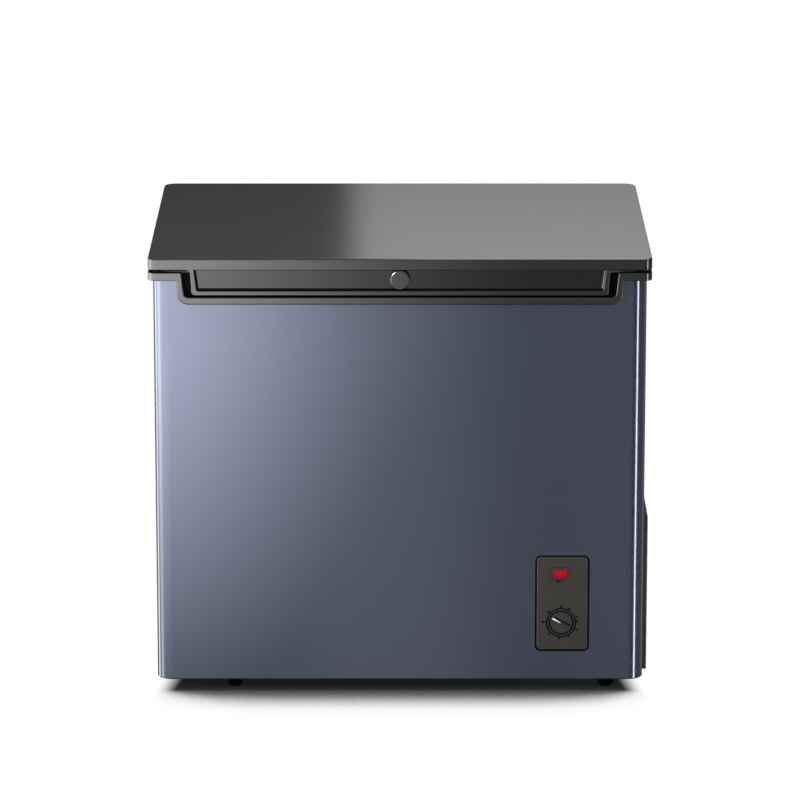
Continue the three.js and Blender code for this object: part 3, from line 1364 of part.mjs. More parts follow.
// Leaf on the lid's back edge, with its ears between those of the base.
function hingeLeaf(x) {
  const half = LEAF_WIDTH / 2;
  const plate = block(x - half, x + half, LID_BACK + SEAT, LEAF_FACE, LEAF_Z0, LEAF_Z1);
  const eye = HINGE_EYE - 0.4;
  const ear = outline([
    [LEAF_FACE - 1, LEAF_Z1 - 1],
    [LEAF_FACE - 1, LEAF_Z0],
    [PIN_Y - eye, PIN_Z + eye],
    [PIN_Y - eye, PIN_Z - eye, eye * 0.98],
    [PIN_Y + eye, PIN_Z - eye, eye * 0.98],
    [PIN_Y + eye, LEAF_Z0],
    [LEAF_FACE + 3, LEAF_Z1 - 1, 1],
  ]);
  const ears = [-LEAF_EAR_SPAN, LEAF_EAR_SPAN].map((off) => (
    sideways(ear, x + off - HINGE_SHEET / 2, x + off + HINGE_SHEET / 2)
  ));
  const bore = rodX(x - half, x + half, PIN_Y, PIN_Z, HINGE_PIN_RADIUS + SEAT);
  const holes = leafScrewPlaces(x).map((sx) => (
    rodY(LID_BACK, LEAF_FACE + 1, sx, LEAF_SCREW_Z, SCREW_RADIUS + SEAT, 8)
  ));
  return cut(join(plate, ...ears), bore, ...holes);
}

function leafScrewPlaces(x) {
  const off = LEAF_WIDTH / 2 - SCREW_HEAD_RADIUS - 0.8;
  return [x - off, x + off];
}

function hingePin(x) {
  const ear = HINGE_EAR_SPAN + HINGE_SHEET / 2 + SEAT;
  const shaft = rodX(x - ear - 1, x + ear + 3, PIN_Y, PIN_Z, HINGE_PIN_RADIUS);
  const head = rodX(x - ear - HINGE_PIN_HEAD_LENGTH, x - ear, PIN_Y, PIN_Z, HINGE_PIN_HEAD);
  return join(shaft, head);
}

// Coil round the pin, with one leg on the base plate and one on the leaf.
function hingeSpring(x) {
  const length = 2 * (LEAF_EAR_SPAN - HINGE_SHEET / 2 - 2 * SPRING_WIRE - 1);
  const count = SPRING_TURNS * SPRING_SEGMENTS - 1;
  const lowLeg = at(x - length / 2, BASE_FACE + SEAT + SPRING_WIRE, PIN_Z - SPRING_RADIUS - 3);
  const highLeg = at(x + length / 2, LEAF_FACE + 2 * SEAT + SPRING_WIRE, LEAF_Z0 + 3);
  const points = [lowLeg];
  for (let i = 0; i <= count; i += 1) {
    const angle = Math.PI * 0.75 - (2 * Math.PI * i) / SPRING_SEGMENTS;
    const along = x - length / 2 + (length * i) / count;
    points.push(at(along, PIN_Y + SPRING_RADIUS * Math.cos(angle), PIN_Z + SPRING_RADIUS * Math.sin(angle)));
  }
  points.push(highLeg);
  return sweep(polygon(SPRING_WIRE, 4), points);
}

// Pan-head screw along Y, its head at the back.
function screw(x, z, face) {
  const under = face + SEAT;
  return turnedAcross([
    [0, under - SCREW_LENGTH],
    [SCREW_RADIUS, under - SCREW_LENGTH + 2],
    [SCREW_RADIUS, under],
    [SCREW_HEAD_RADIUS, under],
    [SCREW_HEAD_RADIUS * 0.6, under + SCREW_HEAD],
    [0, under + SCREW_HEAD],
  ], x, z, 6);
}

// --- Lid -------------------------------------------------------------------

const APRON_FOOT = LID_UNDER - APRON_DROP;
const APRON_BACK = FRONT + APRON_DEPTH;

function apronOutline() {
  const foot = APRON_HALF - APRON_TAPER;
  const flareTop = LID_UNDER + 1;
  const high = LID_UNDER + LID_BAND / 2;
  const shape = new THREE.Shape();
  shape.moveTo(-APRON_HALF - APRON_FLARE, high);
  shape.lineTo(-APRON_HALF - APRON_FLARE, flareTop);
  shape.quadraticCurveTo(-APRON_HALF, flareTop - 0.5, -APRON_HALF, LID_UNDER - APRON_FLARE);
  shape.lineTo(-foot, APRON_FOOT + APRON_CORNER);
  shape.quadraticCurveTo(-foot, APRON_FOOT, -foot + APRON_CORNER, APRON_FOOT);
  shape.lineTo(foot - APRON_CORNER, APRON_FOOT);
  shape.quadraticCurveTo(foot, APRON_FOOT, foot, APRON_FOOT + APRON_CORNER);
  shape.lineTo(APRON_HALF, LID_UNDER - APRON_FLARE);
  shape.quadraticCurveTo(APRON_HALF, flareTop - 0.5, APRON_HALF + APRON_FLARE, flareTop);
  shape.lineTo(APRON_HALF + APRON_FLARE, high);
  shape.closePath();
  return shape;
}

// Finger pocket behind the lid's front edge, its back leaning up and away.
function fingerPocket() {
  const top = APRON_HALF - POCKET_LEG;
  const foot = APRON_HALF - POCKET_LEG_FOOT - APRON_TAPER;
  const floor = LID_UNDER - POCKET_DROP;
  const seen = outline([
    [-top, LID_UNDER],
    [-foot, floor, 2],
    [foot, floor, 2],
    [top, LID_UNDER],
  ]);
  const section = outline([
    [FRONT - 5, floor - 1],
    [FRONT + POCKET_FOOT_DEPTH, floor - 1],
    [FRONT + POCKET_DEPTH, LID_UNDER + 1],
    [FRONT - 5, LID_UNDER + 1],
  ]);
  return across(seen, FRONT - 5, APRON_BACK).intersect(sideways(section, -LID_SIDE, LID_SIDE));
}

function lidShell() {
  const top = OVERALL_HEIGHT;
  const band = upright(lidOutline(0), LID_UNDER, top, LID_EDGE);
  const room = upright(lidOutline(LID_WALL), LID_UNDER - 1, top - LID_WALL);
  const side = LID_SIDE - LID_WALL + 0.5;
  const frontShelf = block(-side, side, FRONT + LID_WALL - 0.5, APRON_BACK, LID_UNDER, LID_UNDER + LID_WALL);
  const apron = across(apronOutline(), FRONT, APRON_BACK, APRON_EDGE);
  const boss = rodY(FRONT + BOSS_CAP_THICKNESS + SEAT, APRON_BACK, 0, BOSS_Z, BOSS_RADIUS, 24);
  const capSeat = rodY(FRONT - 1, FRONT + BOSS_CAP_THICKNESS + SEAT, 0, BOSS_Z, BOSS_RADIUS + SEAT, 24);
  const screws = [];
  for (const hinge of [-HINGE_X, HINGE_X]) {
    for (const x of leafScrewPlaces(hinge)) {
      screws.push(rodY(LID_BACK - LID_WALL - 1, LID_BACK + 1, x, LEAF_SCREW_Z, SCREW_RADIUS + SEAT, 8));
    }
  }
  const shelled = join(cut(band, room), frontShelf, apron);
  return cut(join(cut(shelled, fingerPocket()), boss), capSeat, ...screws);
}

const BOSS_Z = LID_UNDER - BOSS_DROP;

function handleBossCap() {
  const r = BOSS_RADIUS - 0.1;
  const back = FRONT + BOSS_CAP_THICKNESS;
  return turnedAcross([
    [0, FRONT],
    [r - 1.4, FRONT],
    [r, FRONT + 1],
    [r, back],
    [0, back],
  ], 0, BOSS_Z, 24);
}

const LINER_PLATE_TOP = LID_UNDER + LID_LINER_WALL;
const PLUG_BOTTOM = LID_UNDER - PLUG_DROP;

function plugSolid(inset, z0, z1) {
  const edge = PLUG_EDGE - inset / 2;
  return cut(
    upright(mouthOutline(PLUG_CLEARANCE + inset), z0, z1 + 2 * edge, edge),
    block(-BEYOND, BEYOND, -BEYOND, BEYOND, z1, BEYOND),
  );
}

// White vacuum-formed inner face with the plug that sinks into the tank.
function lidInnerLiner() {
  const inset = LID_WALL + SEAT;
  const plate = upright(lidOutline(inset, APRON_BACK + SEAT), LID_UNDER, LINER_PLATE_TOP);
  const wall = LID_LINER_WALL;
  const plug = plugSolid(0, PLUG_BOTTOM, LID_UNDER + wall / 2);
  return cut(join(plate, plug), plugSolid(wall, PLUG_BOTTOM + wall, LINER_PLATE_TOP + 1));
}

function lidFoam() {
  const inset = LID_WALL + SEAT;
  const wall = LID_LINER_WALL + SEAT;
  const low = LINER_PLATE_TOP + SEAT;
  const slab = upright(lidOutline(inset), low, OVERALL_HEIGHT - inset);
  const shelfRoom = block(
    -LID_SIDE, LID_SIDE, FRONT, APRON_BACK + SEAT, LID_UNDER - 1, LID_UNDER + LID_WALL + SEAT,
  );
  const apronRoom = block(
    -APRON_HALF - APRON_FLARE - 1, APRON_HALF + APRON_FLARE + 1, FRONT, APRON_BACK + SEAT,
    LID_UNDER - 1, LID_UNDER + LID_BAND / 2 + SEAT,
  );
  const fill = plugSolid(wall, PLUG_BOTTOM + wall, low + 0.5);
  const screws = [];
  for (const hinge of [-HINGE_X, HINGE_X]) {
    for (const x of leafScrewPlaces(hinge)) {
      screws.push(rodY(LID_BACK - SCREW_LENGTH - 2, LID_BACK, x, LEAF_SCREW_Z, SCREW_RADIUS + SEAT, 8));
    }
  }
  return cut(join(cut(slab, shelfRoom, apronRoom), fill), ...screws);
}

// Sealing ring with soft edges, between the lid's liner and the collar's land.
function lidGasket() {
  const z0 = LAND + SEAT;
  const z1 = LID_UNDER - SEAT;
  const outer = upright(gasketOutline(GASKET_INSET), z0, z1, GASKET_LIP, 1);
  return cut(outer, upright(gasketOutline(GASKET_INSET + GASKET_WIDTH), z0 - 1, z1 + 1));
}

function gasketOutline(inset) {
  const side = LID_SIDE - inset;
  return rectangle(-side, side, FRONT + inset, LID_BACK - inset, 26 - inset / 2);
}

// --- Basket ----------------------------------------------------------------

// Welded wire basket that hangs from the collar's land by four hooks.
function wireBasket() {
  const rimZ = LAND - BASKET_RIM_DROP;
  const floorZ = TANK_STEP_Z + BASKET_ABOVE_STEP;
  const rimX = BASKET_LENGTH / 2;
  const floorX = BASKET_FLOOR_LENGTH / 2;
  const rimY = (MOUTH_BACK - MOUTH_FRONT) / 2 - PLUG_CLEARANCE / 2;
  const floorY = rimY - BASKET_FLOOR_TAPER;
  const wires = [];
  const centreX = MOUTH_SIDE - BASKET_SIDE_ROOM - rimX;
  const place = (x, y, z) => at(centreX + x, MOUTH_MIDDLE + y, z);

  for (let i = 0; i <= BASKET_RINGS; i += 1) {
    const f = i / (BASKET_RINGS + 1);
    const radius = i === 0 ? RIM_WIRE : MESH_WIRE;
    const halfX = THREE.MathUtils.lerp(rimX, floorX, f);
    const halfY = THREE.MathUtils.lerp(rimY, floorY, f);
    const z = THREE.MathUtils.lerp(rimZ, floorZ, f);
    wires.push(...wireRing(place, halfX, halfY, z, radius));
  }

  const weld = MESH_WIRE * 0.9; // crossing wires lie this far apart, sunk into each other
  const hangY = rimY + RIM_WIRE * 0.8;
  for (let i = 0; i < BASKET_CROSS_WIRES; i += 1) {
    const f = (2 * (i + 1)) / (BASKET_CROSS_WIRES + 1) - 1;
    wires.push(tube([
      place(f * rimX, -rimY + weld, rimZ),
      place(f * floorX, -floorY + weld, floorZ - weld),
      place(f * floorX, floorY - weld, floorZ - weld),
      place(f * rimX, rimY - weld, rimZ),
    ], MESH_WIRE, 8, WIRE_SIDES));
  }
  for (let i = 0; i < BASKET_LONG_WIRES; i += 1) {
    const f = (2 * (i + 1)) / (BASKET_LONG_WIRES + 1) - 1;
    wires.push(tube([
      place(-rimX + weld, f * rimY, rimZ),
      place(-floorX + weld, f * floorY, floorZ),
      place(floorX - weld, f * floorY, floorZ),
      place(rimX - weld, f * rimY, rimZ),
    ], MESH_WIRE, 8, WIRE_SIDES));
  }

  for (const sx of [-1, 1]) {
    for (const sy of [-1, 1]) {
      const x = (sx * HANGER_SPACING) / 2;
      const hookZ = LAND + SEAT + RIM_WIRE;
      wires.push(tube([
        place(x, sy * hangY, rimZ - 2 * RIM_WIRE),
        place(x, sy * hangY, hookZ),
        place(x, sy * (hangY + HANGER_REACH), hookZ),
      ], RIM_WIRE, 6, WIRE_SIDES));
    }
  }
  return join(...wires);
}

// Closed rectangle of wire with round corners, bent in two halves.
// The left half is a little thinner and its ends lie inside the right half.
function wireRing(place, halfX, halfY, z, radius) {
  const half = (side, end, thickness) => tube([
    place(end, -halfY, z),
    place(side * halfX, -halfY, z),
    place(side * halfX, halfY, z),
    place(end, halfY, z),
  ], thickness, BASKET_RADIUS, WIRE_SIDES);
  return [half(1, 0, radius), half(-1, WIRE_LAP, radius * 0.95)];
}

// --- Assembly --------------------------------------------------------------

piece('outer_wrapper', outerWrapper(), blueSteel);
piece('rear_panel', rearPanel(), zincSteel);
piece('base_pan', basePan(), zincSteel);
piece('compartment_shield', compartmentShield(), zincSteel);
piece('compressor_tray', compressorTray(), blackSteel);
piece('insulation_foam', insulationFoam(), foamYellow);
piece('inner_liner', innerLiner(), whitePlastic);
piece('top_collar', topCollar(), blackPlastic);

piece('evaporator_coil', coil(evaporatorRoute(), EVAPORATOR_TUBE, EVAPORATOR_BEND), zincSteel);
piece('condenser_coil', coil(condenserRoute(), CONDENSER_TUBE, CONDENSER_BEND), copper);
piece('compressor', compressor(), blackSteel);
grommetPlaces().forEach((place, i) => {
  piece(`compressor_grommet_${i + 1}`, grommet(place), blackRubber);
});
piece('starter_relay', starterRelay(), blackPlastic);
piece('filter_drier', filterDrier(), copper);
piece('discharge_tube', dischargeTube(), copper);
piece('suction_tube', suctionTube(), copper);
piece('capillary_tube', capillaryTube(), copper);

piece('side_vent_cover', sideVentCover(), blackPlastic);
piece('rear_vent_cover', rearVentCover(), zincSteel);
piece('cord_gland', cordGland(), blackRubber);

piece('control_plate', controlPlate(), platePlastic);
piece('control_box', controlBox(), blackPlastic);
piece('indicator_bezel', indicatorBezel(), blackPlastic);
piece('indicator_lens', indicatorLens(), redLens);
piece('indicator_lamp', indicatorLamp(), whitePlastic);
piece('thermostat_body', thermostatBody(), zincSteel);
piece('thermostat_knob', thermostatKnob(), platePlastic);
piece('thermostat_spindle', thermostatSpindle(), zincSteel);

Object.entries(footPlaces).forEach(([name, place]) => {
  piece(name, foot(place), blackRubber);
});

for (const [side, x] of [['left', -HINGE_X], ['right', HINGE_X]]) {
  piece(`hinge_base_${side}`, hingeBase(x), zincSteel);
  piece(`hinge_leaf_${side}`, hingeLeaf(x), zincSteel);
  piece(`hinge_pin_${side}`, hingePin(x), zincSteel);
  piece(`hinge_spring_${side}`, hingeSpring(x), zincSteel);
  screwPlaces(x).forEach((sx, i) => {
    piece(`hinge_base_screw_${side}_${i + 1}`, screw(sx, BASE_SCREW_Z, BASE_FACE), zincSteel);
  });
  leafScrewPlaces(x).forEach((sx, i) => {
    piece(`hinge_leaf_screw_${side}_${i + 1}`, screw(sx, LEAF_SCREW_Z, LEAF_FACE), zincSteel);
  });
}

piece('lid_shell', lidShell(), blackGloss);
piece('handle_boss_cap', handleBossCap(), blackGloss);
piece('lid_foam', lidFoam(), foamYellow);
piece('lid_inner_liner', lidInnerLiner(), whitePlastic);
piece('lid_gasket', lidGasket(), greyRubber);

piece('wire_basket', wireBasket(), whiteWire);

export default freezer;
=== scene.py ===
# Small chest freezer: a blue steel cabinet with a black lid, collar and side cover,
# a control plate low on its front, and a white tank with a hanging wire basket.
import math

import bpy
from mathutils import Matrix, Vector


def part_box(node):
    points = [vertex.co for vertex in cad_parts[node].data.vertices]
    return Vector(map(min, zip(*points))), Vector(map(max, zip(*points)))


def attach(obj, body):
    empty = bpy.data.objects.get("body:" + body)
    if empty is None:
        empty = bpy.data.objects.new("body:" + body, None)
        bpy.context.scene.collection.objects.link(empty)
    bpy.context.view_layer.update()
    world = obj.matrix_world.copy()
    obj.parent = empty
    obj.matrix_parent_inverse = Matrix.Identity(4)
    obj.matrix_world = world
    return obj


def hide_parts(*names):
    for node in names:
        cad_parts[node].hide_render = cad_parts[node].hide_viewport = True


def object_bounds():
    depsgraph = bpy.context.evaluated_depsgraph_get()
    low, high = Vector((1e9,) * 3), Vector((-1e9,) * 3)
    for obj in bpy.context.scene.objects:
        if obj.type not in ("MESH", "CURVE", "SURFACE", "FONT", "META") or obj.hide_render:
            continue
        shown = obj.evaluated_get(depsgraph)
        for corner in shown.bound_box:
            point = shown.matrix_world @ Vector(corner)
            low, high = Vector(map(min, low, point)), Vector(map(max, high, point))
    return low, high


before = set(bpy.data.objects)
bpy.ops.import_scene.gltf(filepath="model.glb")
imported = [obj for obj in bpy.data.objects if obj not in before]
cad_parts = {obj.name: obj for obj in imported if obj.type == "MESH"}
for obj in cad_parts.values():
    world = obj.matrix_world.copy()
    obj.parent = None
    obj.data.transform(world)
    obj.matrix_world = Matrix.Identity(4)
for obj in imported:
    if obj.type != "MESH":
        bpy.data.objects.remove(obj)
cad_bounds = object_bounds()

# --- Camera ------------------------------------------------------------------
# A long lens a little above the lid, looking down on the freezer's front.

lid_low, lid_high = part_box("lid_shell")
CAMERA_BEHIND = 5.4642  # from the lid's front
CAMERA_ABOVE = 1.1997  # above the lid's top
CAMERA_PITCH = 14.04  # degrees below the horizon
CAMERA_LENS = 219.4  # in mm

bpy.ops.object.camera_add(
    location=(0, lid_low.y - CAMERA_BEHIND, lid_high.z + CAMERA_ABOVE),
    rotation=(math.radians(90 - CAMERA_PITCH), 0, 0),
)
camera = bpy.context.object
camera.data.lens = CAMERA_LENS
bpy.context.scene.camera = camera
bpy.context.scene.view_settings.view_transform = "Standard"

# --- Studio ------------------------------------------------------------------
# A pale floor in a white room, lit by two soft boxes. The rest is seen in reflections
# only: a curved screen round the front and the sides, bright on the left, a soft box over
# the lid, two small lamps, and a card behind the freezer.


def colour(code, alpha=1.0):
    """An sRGB hex colour as the linear values that a socket takes."""
    channels = [int(code[i : i + 2], 16) / 255 for i in (1, 3, 5)]
    linear = [c / 12.92 if c <= 0.04045 else ((c + 0.055) / 1.055) ** 2.4 for c in channels]
    return (*linear, alpha)


def add_node(tree, kind, settings=None, links=None):
    """A node in the tree, with its properties or sockets set and its inputs linked."""
    node = tree.nodes.new(kind)
    for name, value in (settings or {}).items():
        if name in node.inputs:
            node.inputs[name].default_value = value
        else:
            setattr(node, name, value)
    for name, socket in (links or {}).items():
        tree.links.new(socket, node.inputs[name])
    return node


def set_stops(ramp, stops):
    """Grey stops of a colour ramp, as (position, level) pairs."""
    marks = ramp.color_ramp.elements
    while len(marks) < len(stops):
        marks.new(1.0)
    for mark, (position, level) in zip(marks, stops):
        mark.position = position
        mark.color = (level, level, level, 1)


def studio_material(name):
    """An empty node tree for a stage piece."""
    made = bpy.data.materials.new(name)
    made.use_nodes = True
    made.node_tree.nodes.clear()
    return made


def seen_directly(tree):
    """1 where a camera, glossy or transmission ray arrives, 0 for light."""
    light_path = add_node(tree, "ShaderNodeLightPath")
    seen = light_path.outputs["Is Camera Ray"]
    for other in ("Is Transmission Ray", "Is Glossy Ray"):
        either = add_node(
            tree, "ShaderNodeMath", {"operation": "MAXIMUM"},
            {0: seen, 1: light_path.outputs[other]},
        )
        seen = either.outputs[0]
    return seen


# The floor: matt white board, white to the eye except for the freezer's soft shadow.
# The shadow reaches out in front and behind, and fades away at the cabinet's sides.
FLOOR_SIZE = 30
SHADOW_REACH = 0.16
SHADOW_STOPS = (
    (0.0, 0.008), (0.06, 0.009), (0.09, 0.015), (0.18, 0.019), (0.35, 0.031), (0.52, 0.056),
    (0.547, 0.094), (0.587, 0.165), (0.614, 0.265), (0.643, 0.41), (0.669, 0.545), (0.692, 0.69),
    (0.713, 0.785), (0.742, 0.875), (0.768, 0.93), (0.794, 0.965), (0.82, 0.985), (0.85, 1.0),
)
SHADOW_ENDS = ((-0.26, 0.267), (-0.16, 0.253))  # where it begins to end sideways, at two depths
SHADOW_END_SOFT = 0.028

floor_white = studio_material("matt_white_floor")
tree = floor_white.node_tree
openness = add_node(tree, "ShaderNodeAmbientOcclusion", {"Distance": SHADOW_REACH, "samples": 16})
shadow = add_node(tree, "ShaderNodeValToRGB", {}, {"Fac": openness.outputs["AO"]})
set_stops(shadow, SHADOW_STOPS)
where = add_node(tree, "ShaderNodeTexCoord")
split = add_node(tree, "ShaderNodeSeparateXYZ", {}, {"Vector": where.outputs["Object"]})
(near_y, near_end), (far_y, far_end) = SHADOW_ENDS
end = add_node(
    tree, "ShaderNodeMapRange",
    {"From Min": near_y, "From Max": far_y, "To Min": near_end, "To Max": far_end},
    {"Value": split.outputs["Y"]},
)
off_middle = add_node(tree, "ShaderNodeMath", {"operation": "ABSOLUTE"}, {0: split.outputs["X"]})
past_end = add_node(
    tree, "ShaderNodeMath", {"operation": "SUBTRACT"},
    {0: off_middle.outputs[0], 1: end.outputs[0]},
)
clear_side = add_node(
    tree, "ShaderNodeMapRange", {"From Max": SHADOW_END_SOFT, "interpolation_type": "SMOOTHSTEP"},
    {"Value": past_end.outputs[0]},
)
kept_shadow = add_node(
    tree, "ShaderNodeMath", {"operation": "MAXIMUM"},
    {0: shadow.outputs["Color"], 1: clear_side.outputs[0]},
)
board = add_node(tree, "ShaderNodeBsdfDiffuse", {"Color": colour("#e6e6e6")})
board_glow = add_node(tree, "ShaderNodeEmission", {}, {"Strength": kept_shadow.outputs[0]})
floor_mix = add_node(
    tree, "ShaderNodeMixShader", {},
    {0: seen_directly(tree), 1: board.outputs[0], 2: board_glow.outputs[0]},
)
add_node(tree, "ShaderNodeOutputMaterial", {}, {"Surface": floor_mix.outputs[0]})

bpy.ops.mesh.primitive_plane_add(size=FLOOR_SIZE, location=(0, 0, cad_bounds[0].z))
floor = bpy.context.object
floor.name = "studio_floor"
floor.data.materials.append(floor_white)
floor.visible_glossy = False

# The room: white to the eye and in reflections, a plain grey level as light.
ROOM_LIGHT = 0.72
room_world = bpy.data.worlds.new("white_room")
room_world.use_nodes = True
bpy.context.scene.world = room_world
tree = room_world.node_tree
tree.nodes.clear()
lit = add_node(tree, "ShaderNodeBackground", {"Color": (1, 1, 1, 1), "Strength": ROOM_LIGHT})
white = add_node(tree, "ShaderNodeBackground", {"Color": (1, 1, 1, 1), "Strength": 1.0})
room_mix = add_node(
    tree, "ShaderNodeMixShader", {},
    {0: seen_directly(tree), 1: lit.outputs[0], 2: white.outputs[0]},
)
add_node(tree, "ShaderNodeOutputWorld", {}, {"Surface": room_mix.outputs[0]})


def area_light(name, place, target, width, height, power):
    """A soft box aimed at a target, which reflections don't show."""
    bpy.ops.object.light_add(type="AREA", location=place)
    lamp = bpy.context.object
    lamp.name = name
    lamp.data.shape = "RECTANGLE"
    lamp.data.size = width
    lamp.data.size_y = height
    lamp.data.energy = power
    lamp.rotation_mode = "QUATERNION"
    lamp.rotation_quaternion = (Vector(target) - Vector(place)).to_track_quat("-Z", "Y")
    lamp.visible_glossy = False


area_light(
    "soft_box_left", place=(-1.5, -1.4, 1.0), target=(0, -0.2, 0.3), width=1, height=1, power=12
)
area_light(
    "overhead_soft_box", place=(0.2, -0.4, 2.6), target=(0, 0, 0.3), width=2, height=2, power=20
)


def reflected_only(piece, material):
    """A stage piece that only glossy rays meet."""
    material.cycles.emission_sampling = "NONE"
    piece.data.materials.append(material)
    piece.visible_camera = False
    piece.visible_diffuse = False
    piece.visible_shadow = False


def lamp_card(name, level, width=1, height=1):
    """Makes the flat piece just added a lamp that is seen in reflections only."""
    paint = studio_material(name)
    glow = add_node(paint.node_tree, "ShaderNodeEmission", {"Strength": level})
    add_node(paint.node_tree, "ShaderNodeOutputMaterial", {}, {"Surface": glow.outputs[0]})
    piece = bpy.context.object
    piece.name = name
    piece.scale = (width, height, 1)
    reflected_only(piece, paint)
    return piece


# The curved screen. Its level follows the bearing from straight ahead, in degrees to
# the right, and on the left it fades from the top down.
SCREEN_RADIUS = 1.2
SCREEN_SIDES = 72
SCREEN_FROM, SCREEN_TO = -1.3, 1.3
SCREEN_OPEN = 30  # degrees left open to each side of straight behind, above the sill
SCREEN_SILL = 0.45
SCREEN_PEAK = 12.0  # level that stands for 1 in the stops
SCREEN_STOPS = (
    (-165, 0.6), (-158, 0.1), (-122, 0.15), (-112, 1.6), (-104, 7.5), (-98, 7.5), (-92, 3.6),
    (-86, 3.6), (-79, 8.5), (-68, 9.0), (-60, 6.2), (-52, 5.5), (-15.4, 5.4), (-11.8, 4.25),
    (-6.5, 2.5), (-1.3, 1.33), (3.9, 0.76), (6.5, 0.49), (9.6, 0.42), (15, 0.55), (23, 0.45),
    (36, 0.15), (43.5, 0.1), (55.5, 0.1), (70, 0.25), (105, 0.25),
    (118, 0.5), (128, 0.15), (158, 0.1), (165, 0.6),
)
SCREEN_KEPT = (
    (-122, 1.0), (-112, 0.8), (-98, 0.8), (-92, 0.2), (-86, 0.2), (-79, 0.6), (-68, 0.5),
    (-58, 0.0), (-12, 0.0), (-8, 0.15), (-3, 0.5), (2, 0.85), (6, 1.0),
)  # least share of its light that each bearing keeps, down to the bottom
SCREEN_FLOOR_LEVEL = 0.14  # share of the left side's light that is left at the bottom
SCREEN_DIM_FROM, SCREEN_DIM_TO, SCREEN_DIM_LEVEL = 0.35, 0.75, 0.7  # above the lid it is dim
SCREEN_FADE_FROM, SCREEN_FADE_TO = -0.29, 0.19

screen_paint = studio_material("graded_screen")
tree = screen_paint.node_tree
where = add_node(tree, "ShaderNodeTexCoord")
split = add_node(tree, "ShaderNodeSeparateXYZ", {}, {"Vector": where.outputs["Object"]})
ahead = add_node(tree, "ShaderNodeMath", {"operation": "MULTIPLY"}, {0: split.outputs["Y"]})
ahead.inputs[1].default_value = -1
bearing = add_node(
    tree, "ShaderNodeMath", {"operation": "ARCTAN2"},
    {0: split.outputs["X"], 1: ahead.outputs[0]},
)
turn = add_node(
    tree, "ShaderNodeMapRange", {"From Min": -math.pi, "From Max": math.pi},
    {"Value": bearing.outputs[0]},
)
level = add_node(tree, "ShaderNodeValToRGB", {}, {"Fac": turn.outputs[0]})
set_stops(level, [((angle + 180) / 360, peak / SCREEN_PEAK) for angle, peak in SCREEN_STOPS])
drop = add_node(
    tree, "ShaderNodeMapRange",
    {
        "From Min": SCREEN_FADE_FROM, "From Max": SCREEN_FADE_TO,
        "To Min": SCREEN_FLOOR_LEVEL, "To Max": 1.0,
    },
    {"Value": split.outputs["Z"]},
)
kept = add_node(tree, "ShaderNodeValToRGB", {}, {"Fac": turn.outputs[0]})
set_stops(kept, [((angle + 180) / 360, share) for angle, share in SCREEN_KEPT])
fade = add_node(
    tree, "ShaderNodeMath", {"operation": "MAXIMUM"},
    {0: drop.outputs[0], 1: kept.outputs["Color"]},
)
faded = add_node(
    tree, "ShaderNodeMath", {"operation": "MULTIPLY"},
    {0: level.outputs["Color"], 1: fade.outputs[0]},
)
strength = add_node(tree, "ShaderNodeMath", {"operation": "MULTIPLY"}, {0: faded.outputs[0]})
strength.inputs[1].default_value = SCREEN_PEAK
cap_level = add_node(
    tree, "ShaderNodeMapRange",
    {
        "From Min": SCREEN_DIM_FROM, "From Max": SCREEN_DIM_TO, "To Min": SCREEN_PEAK,
        "To Max": SCREEN_DIM_LEVEL, "interpolation_type": "SMOOTHSTEP",
    },
    {"Value": split.outputs["Z"]},
)
capped = add_node(
    tree, "ShaderNodeMath", {"operation": "MINIMUM"},
    {0: strength.outputs[0], 1: cap_level.outputs[0]},
)
screen_glow = add_node(tree, "ShaderNodeEmission", {}, {"Strength": capped.outputs[0]})
add_node(tree, "ShaderNodeOutputMaterial", {}, {"Surface": screen_glow.outputs[0]})

bpy.ops.mesh.primitive_cylinder_add(
    vertices=SCREEN_SIDES, radius=SCREEN_RADIUS, depth=SCREEN_TO - SCREEN_FROM,
    end_fill_type="NOTHING",
)
screen = bpy.context.object
screen.name = "graded_screen"
bpy.ops.object.mode_set(mode="EDIT")
bpy.ops.mesh.select_all(action="SELECT")
bpy.ops.mesh.bisect(plane_co=(0, 0, SCREEN_SILL), plane_no=(0, 0, 1))
bpy.ops.mesh.select_mode(type="FACE")
bpy.ops.mesh.select_all(action="DESELECT")
bpy.ops.object.mode_set(mode="OBJECT")
for face in screen.data.polygons:
    middle = face.center
    behind = math.degrees(abs(math.atan2(middle.x, -middle.y))) > 180 - SCREEN_OPEN
    face.select = behind and middle.z > SCREEN_SILL
bpy.ops.object.mode_set(mode="EDIT")
bpy.ops.mesh.delete(type="FACE")
bpy.ops.object.mode_set(mode="OBJECT")
reflected_only(screen, screen_paint)

# The screen's base: nearly black, so that edges which look down stay dark.
BASE_DROP = 0.38
BASE_LEVEL = 0.04
BASE_GAP = 0.01  # between base and screen
bpy.ops.object.select_all(action="DESELECT")
bpy.ops.mesh.primitive_circle_add(
    vertices=SCREEN_SIDES, radius=SCREEN_RADIUS - BASE_GAP, fill_type="NGON",
    location=(0, 0, -BASE_DROP),
)
lamp_card("screen_base", BASE_LEVEL)

# A soft box over the right half of the lid, seen in the lid's front edge.
OVERHEAD_LEVEL = 11.0
OVERHEAD_PLACE = (0.52, 0.03, 1.5)
OVERHEAD_WIDTH, OVERHEAD_DEPTH = 1.04, 0.54
bpy.ops.mesh.primitive_plane_add(size=1, location=OVERHEAD_PLACE)
lamp_card("overhead_card", OVERHEAD_LEVEL, OVERHEAD_WIDTH, OVERHEAD_DEPTH)

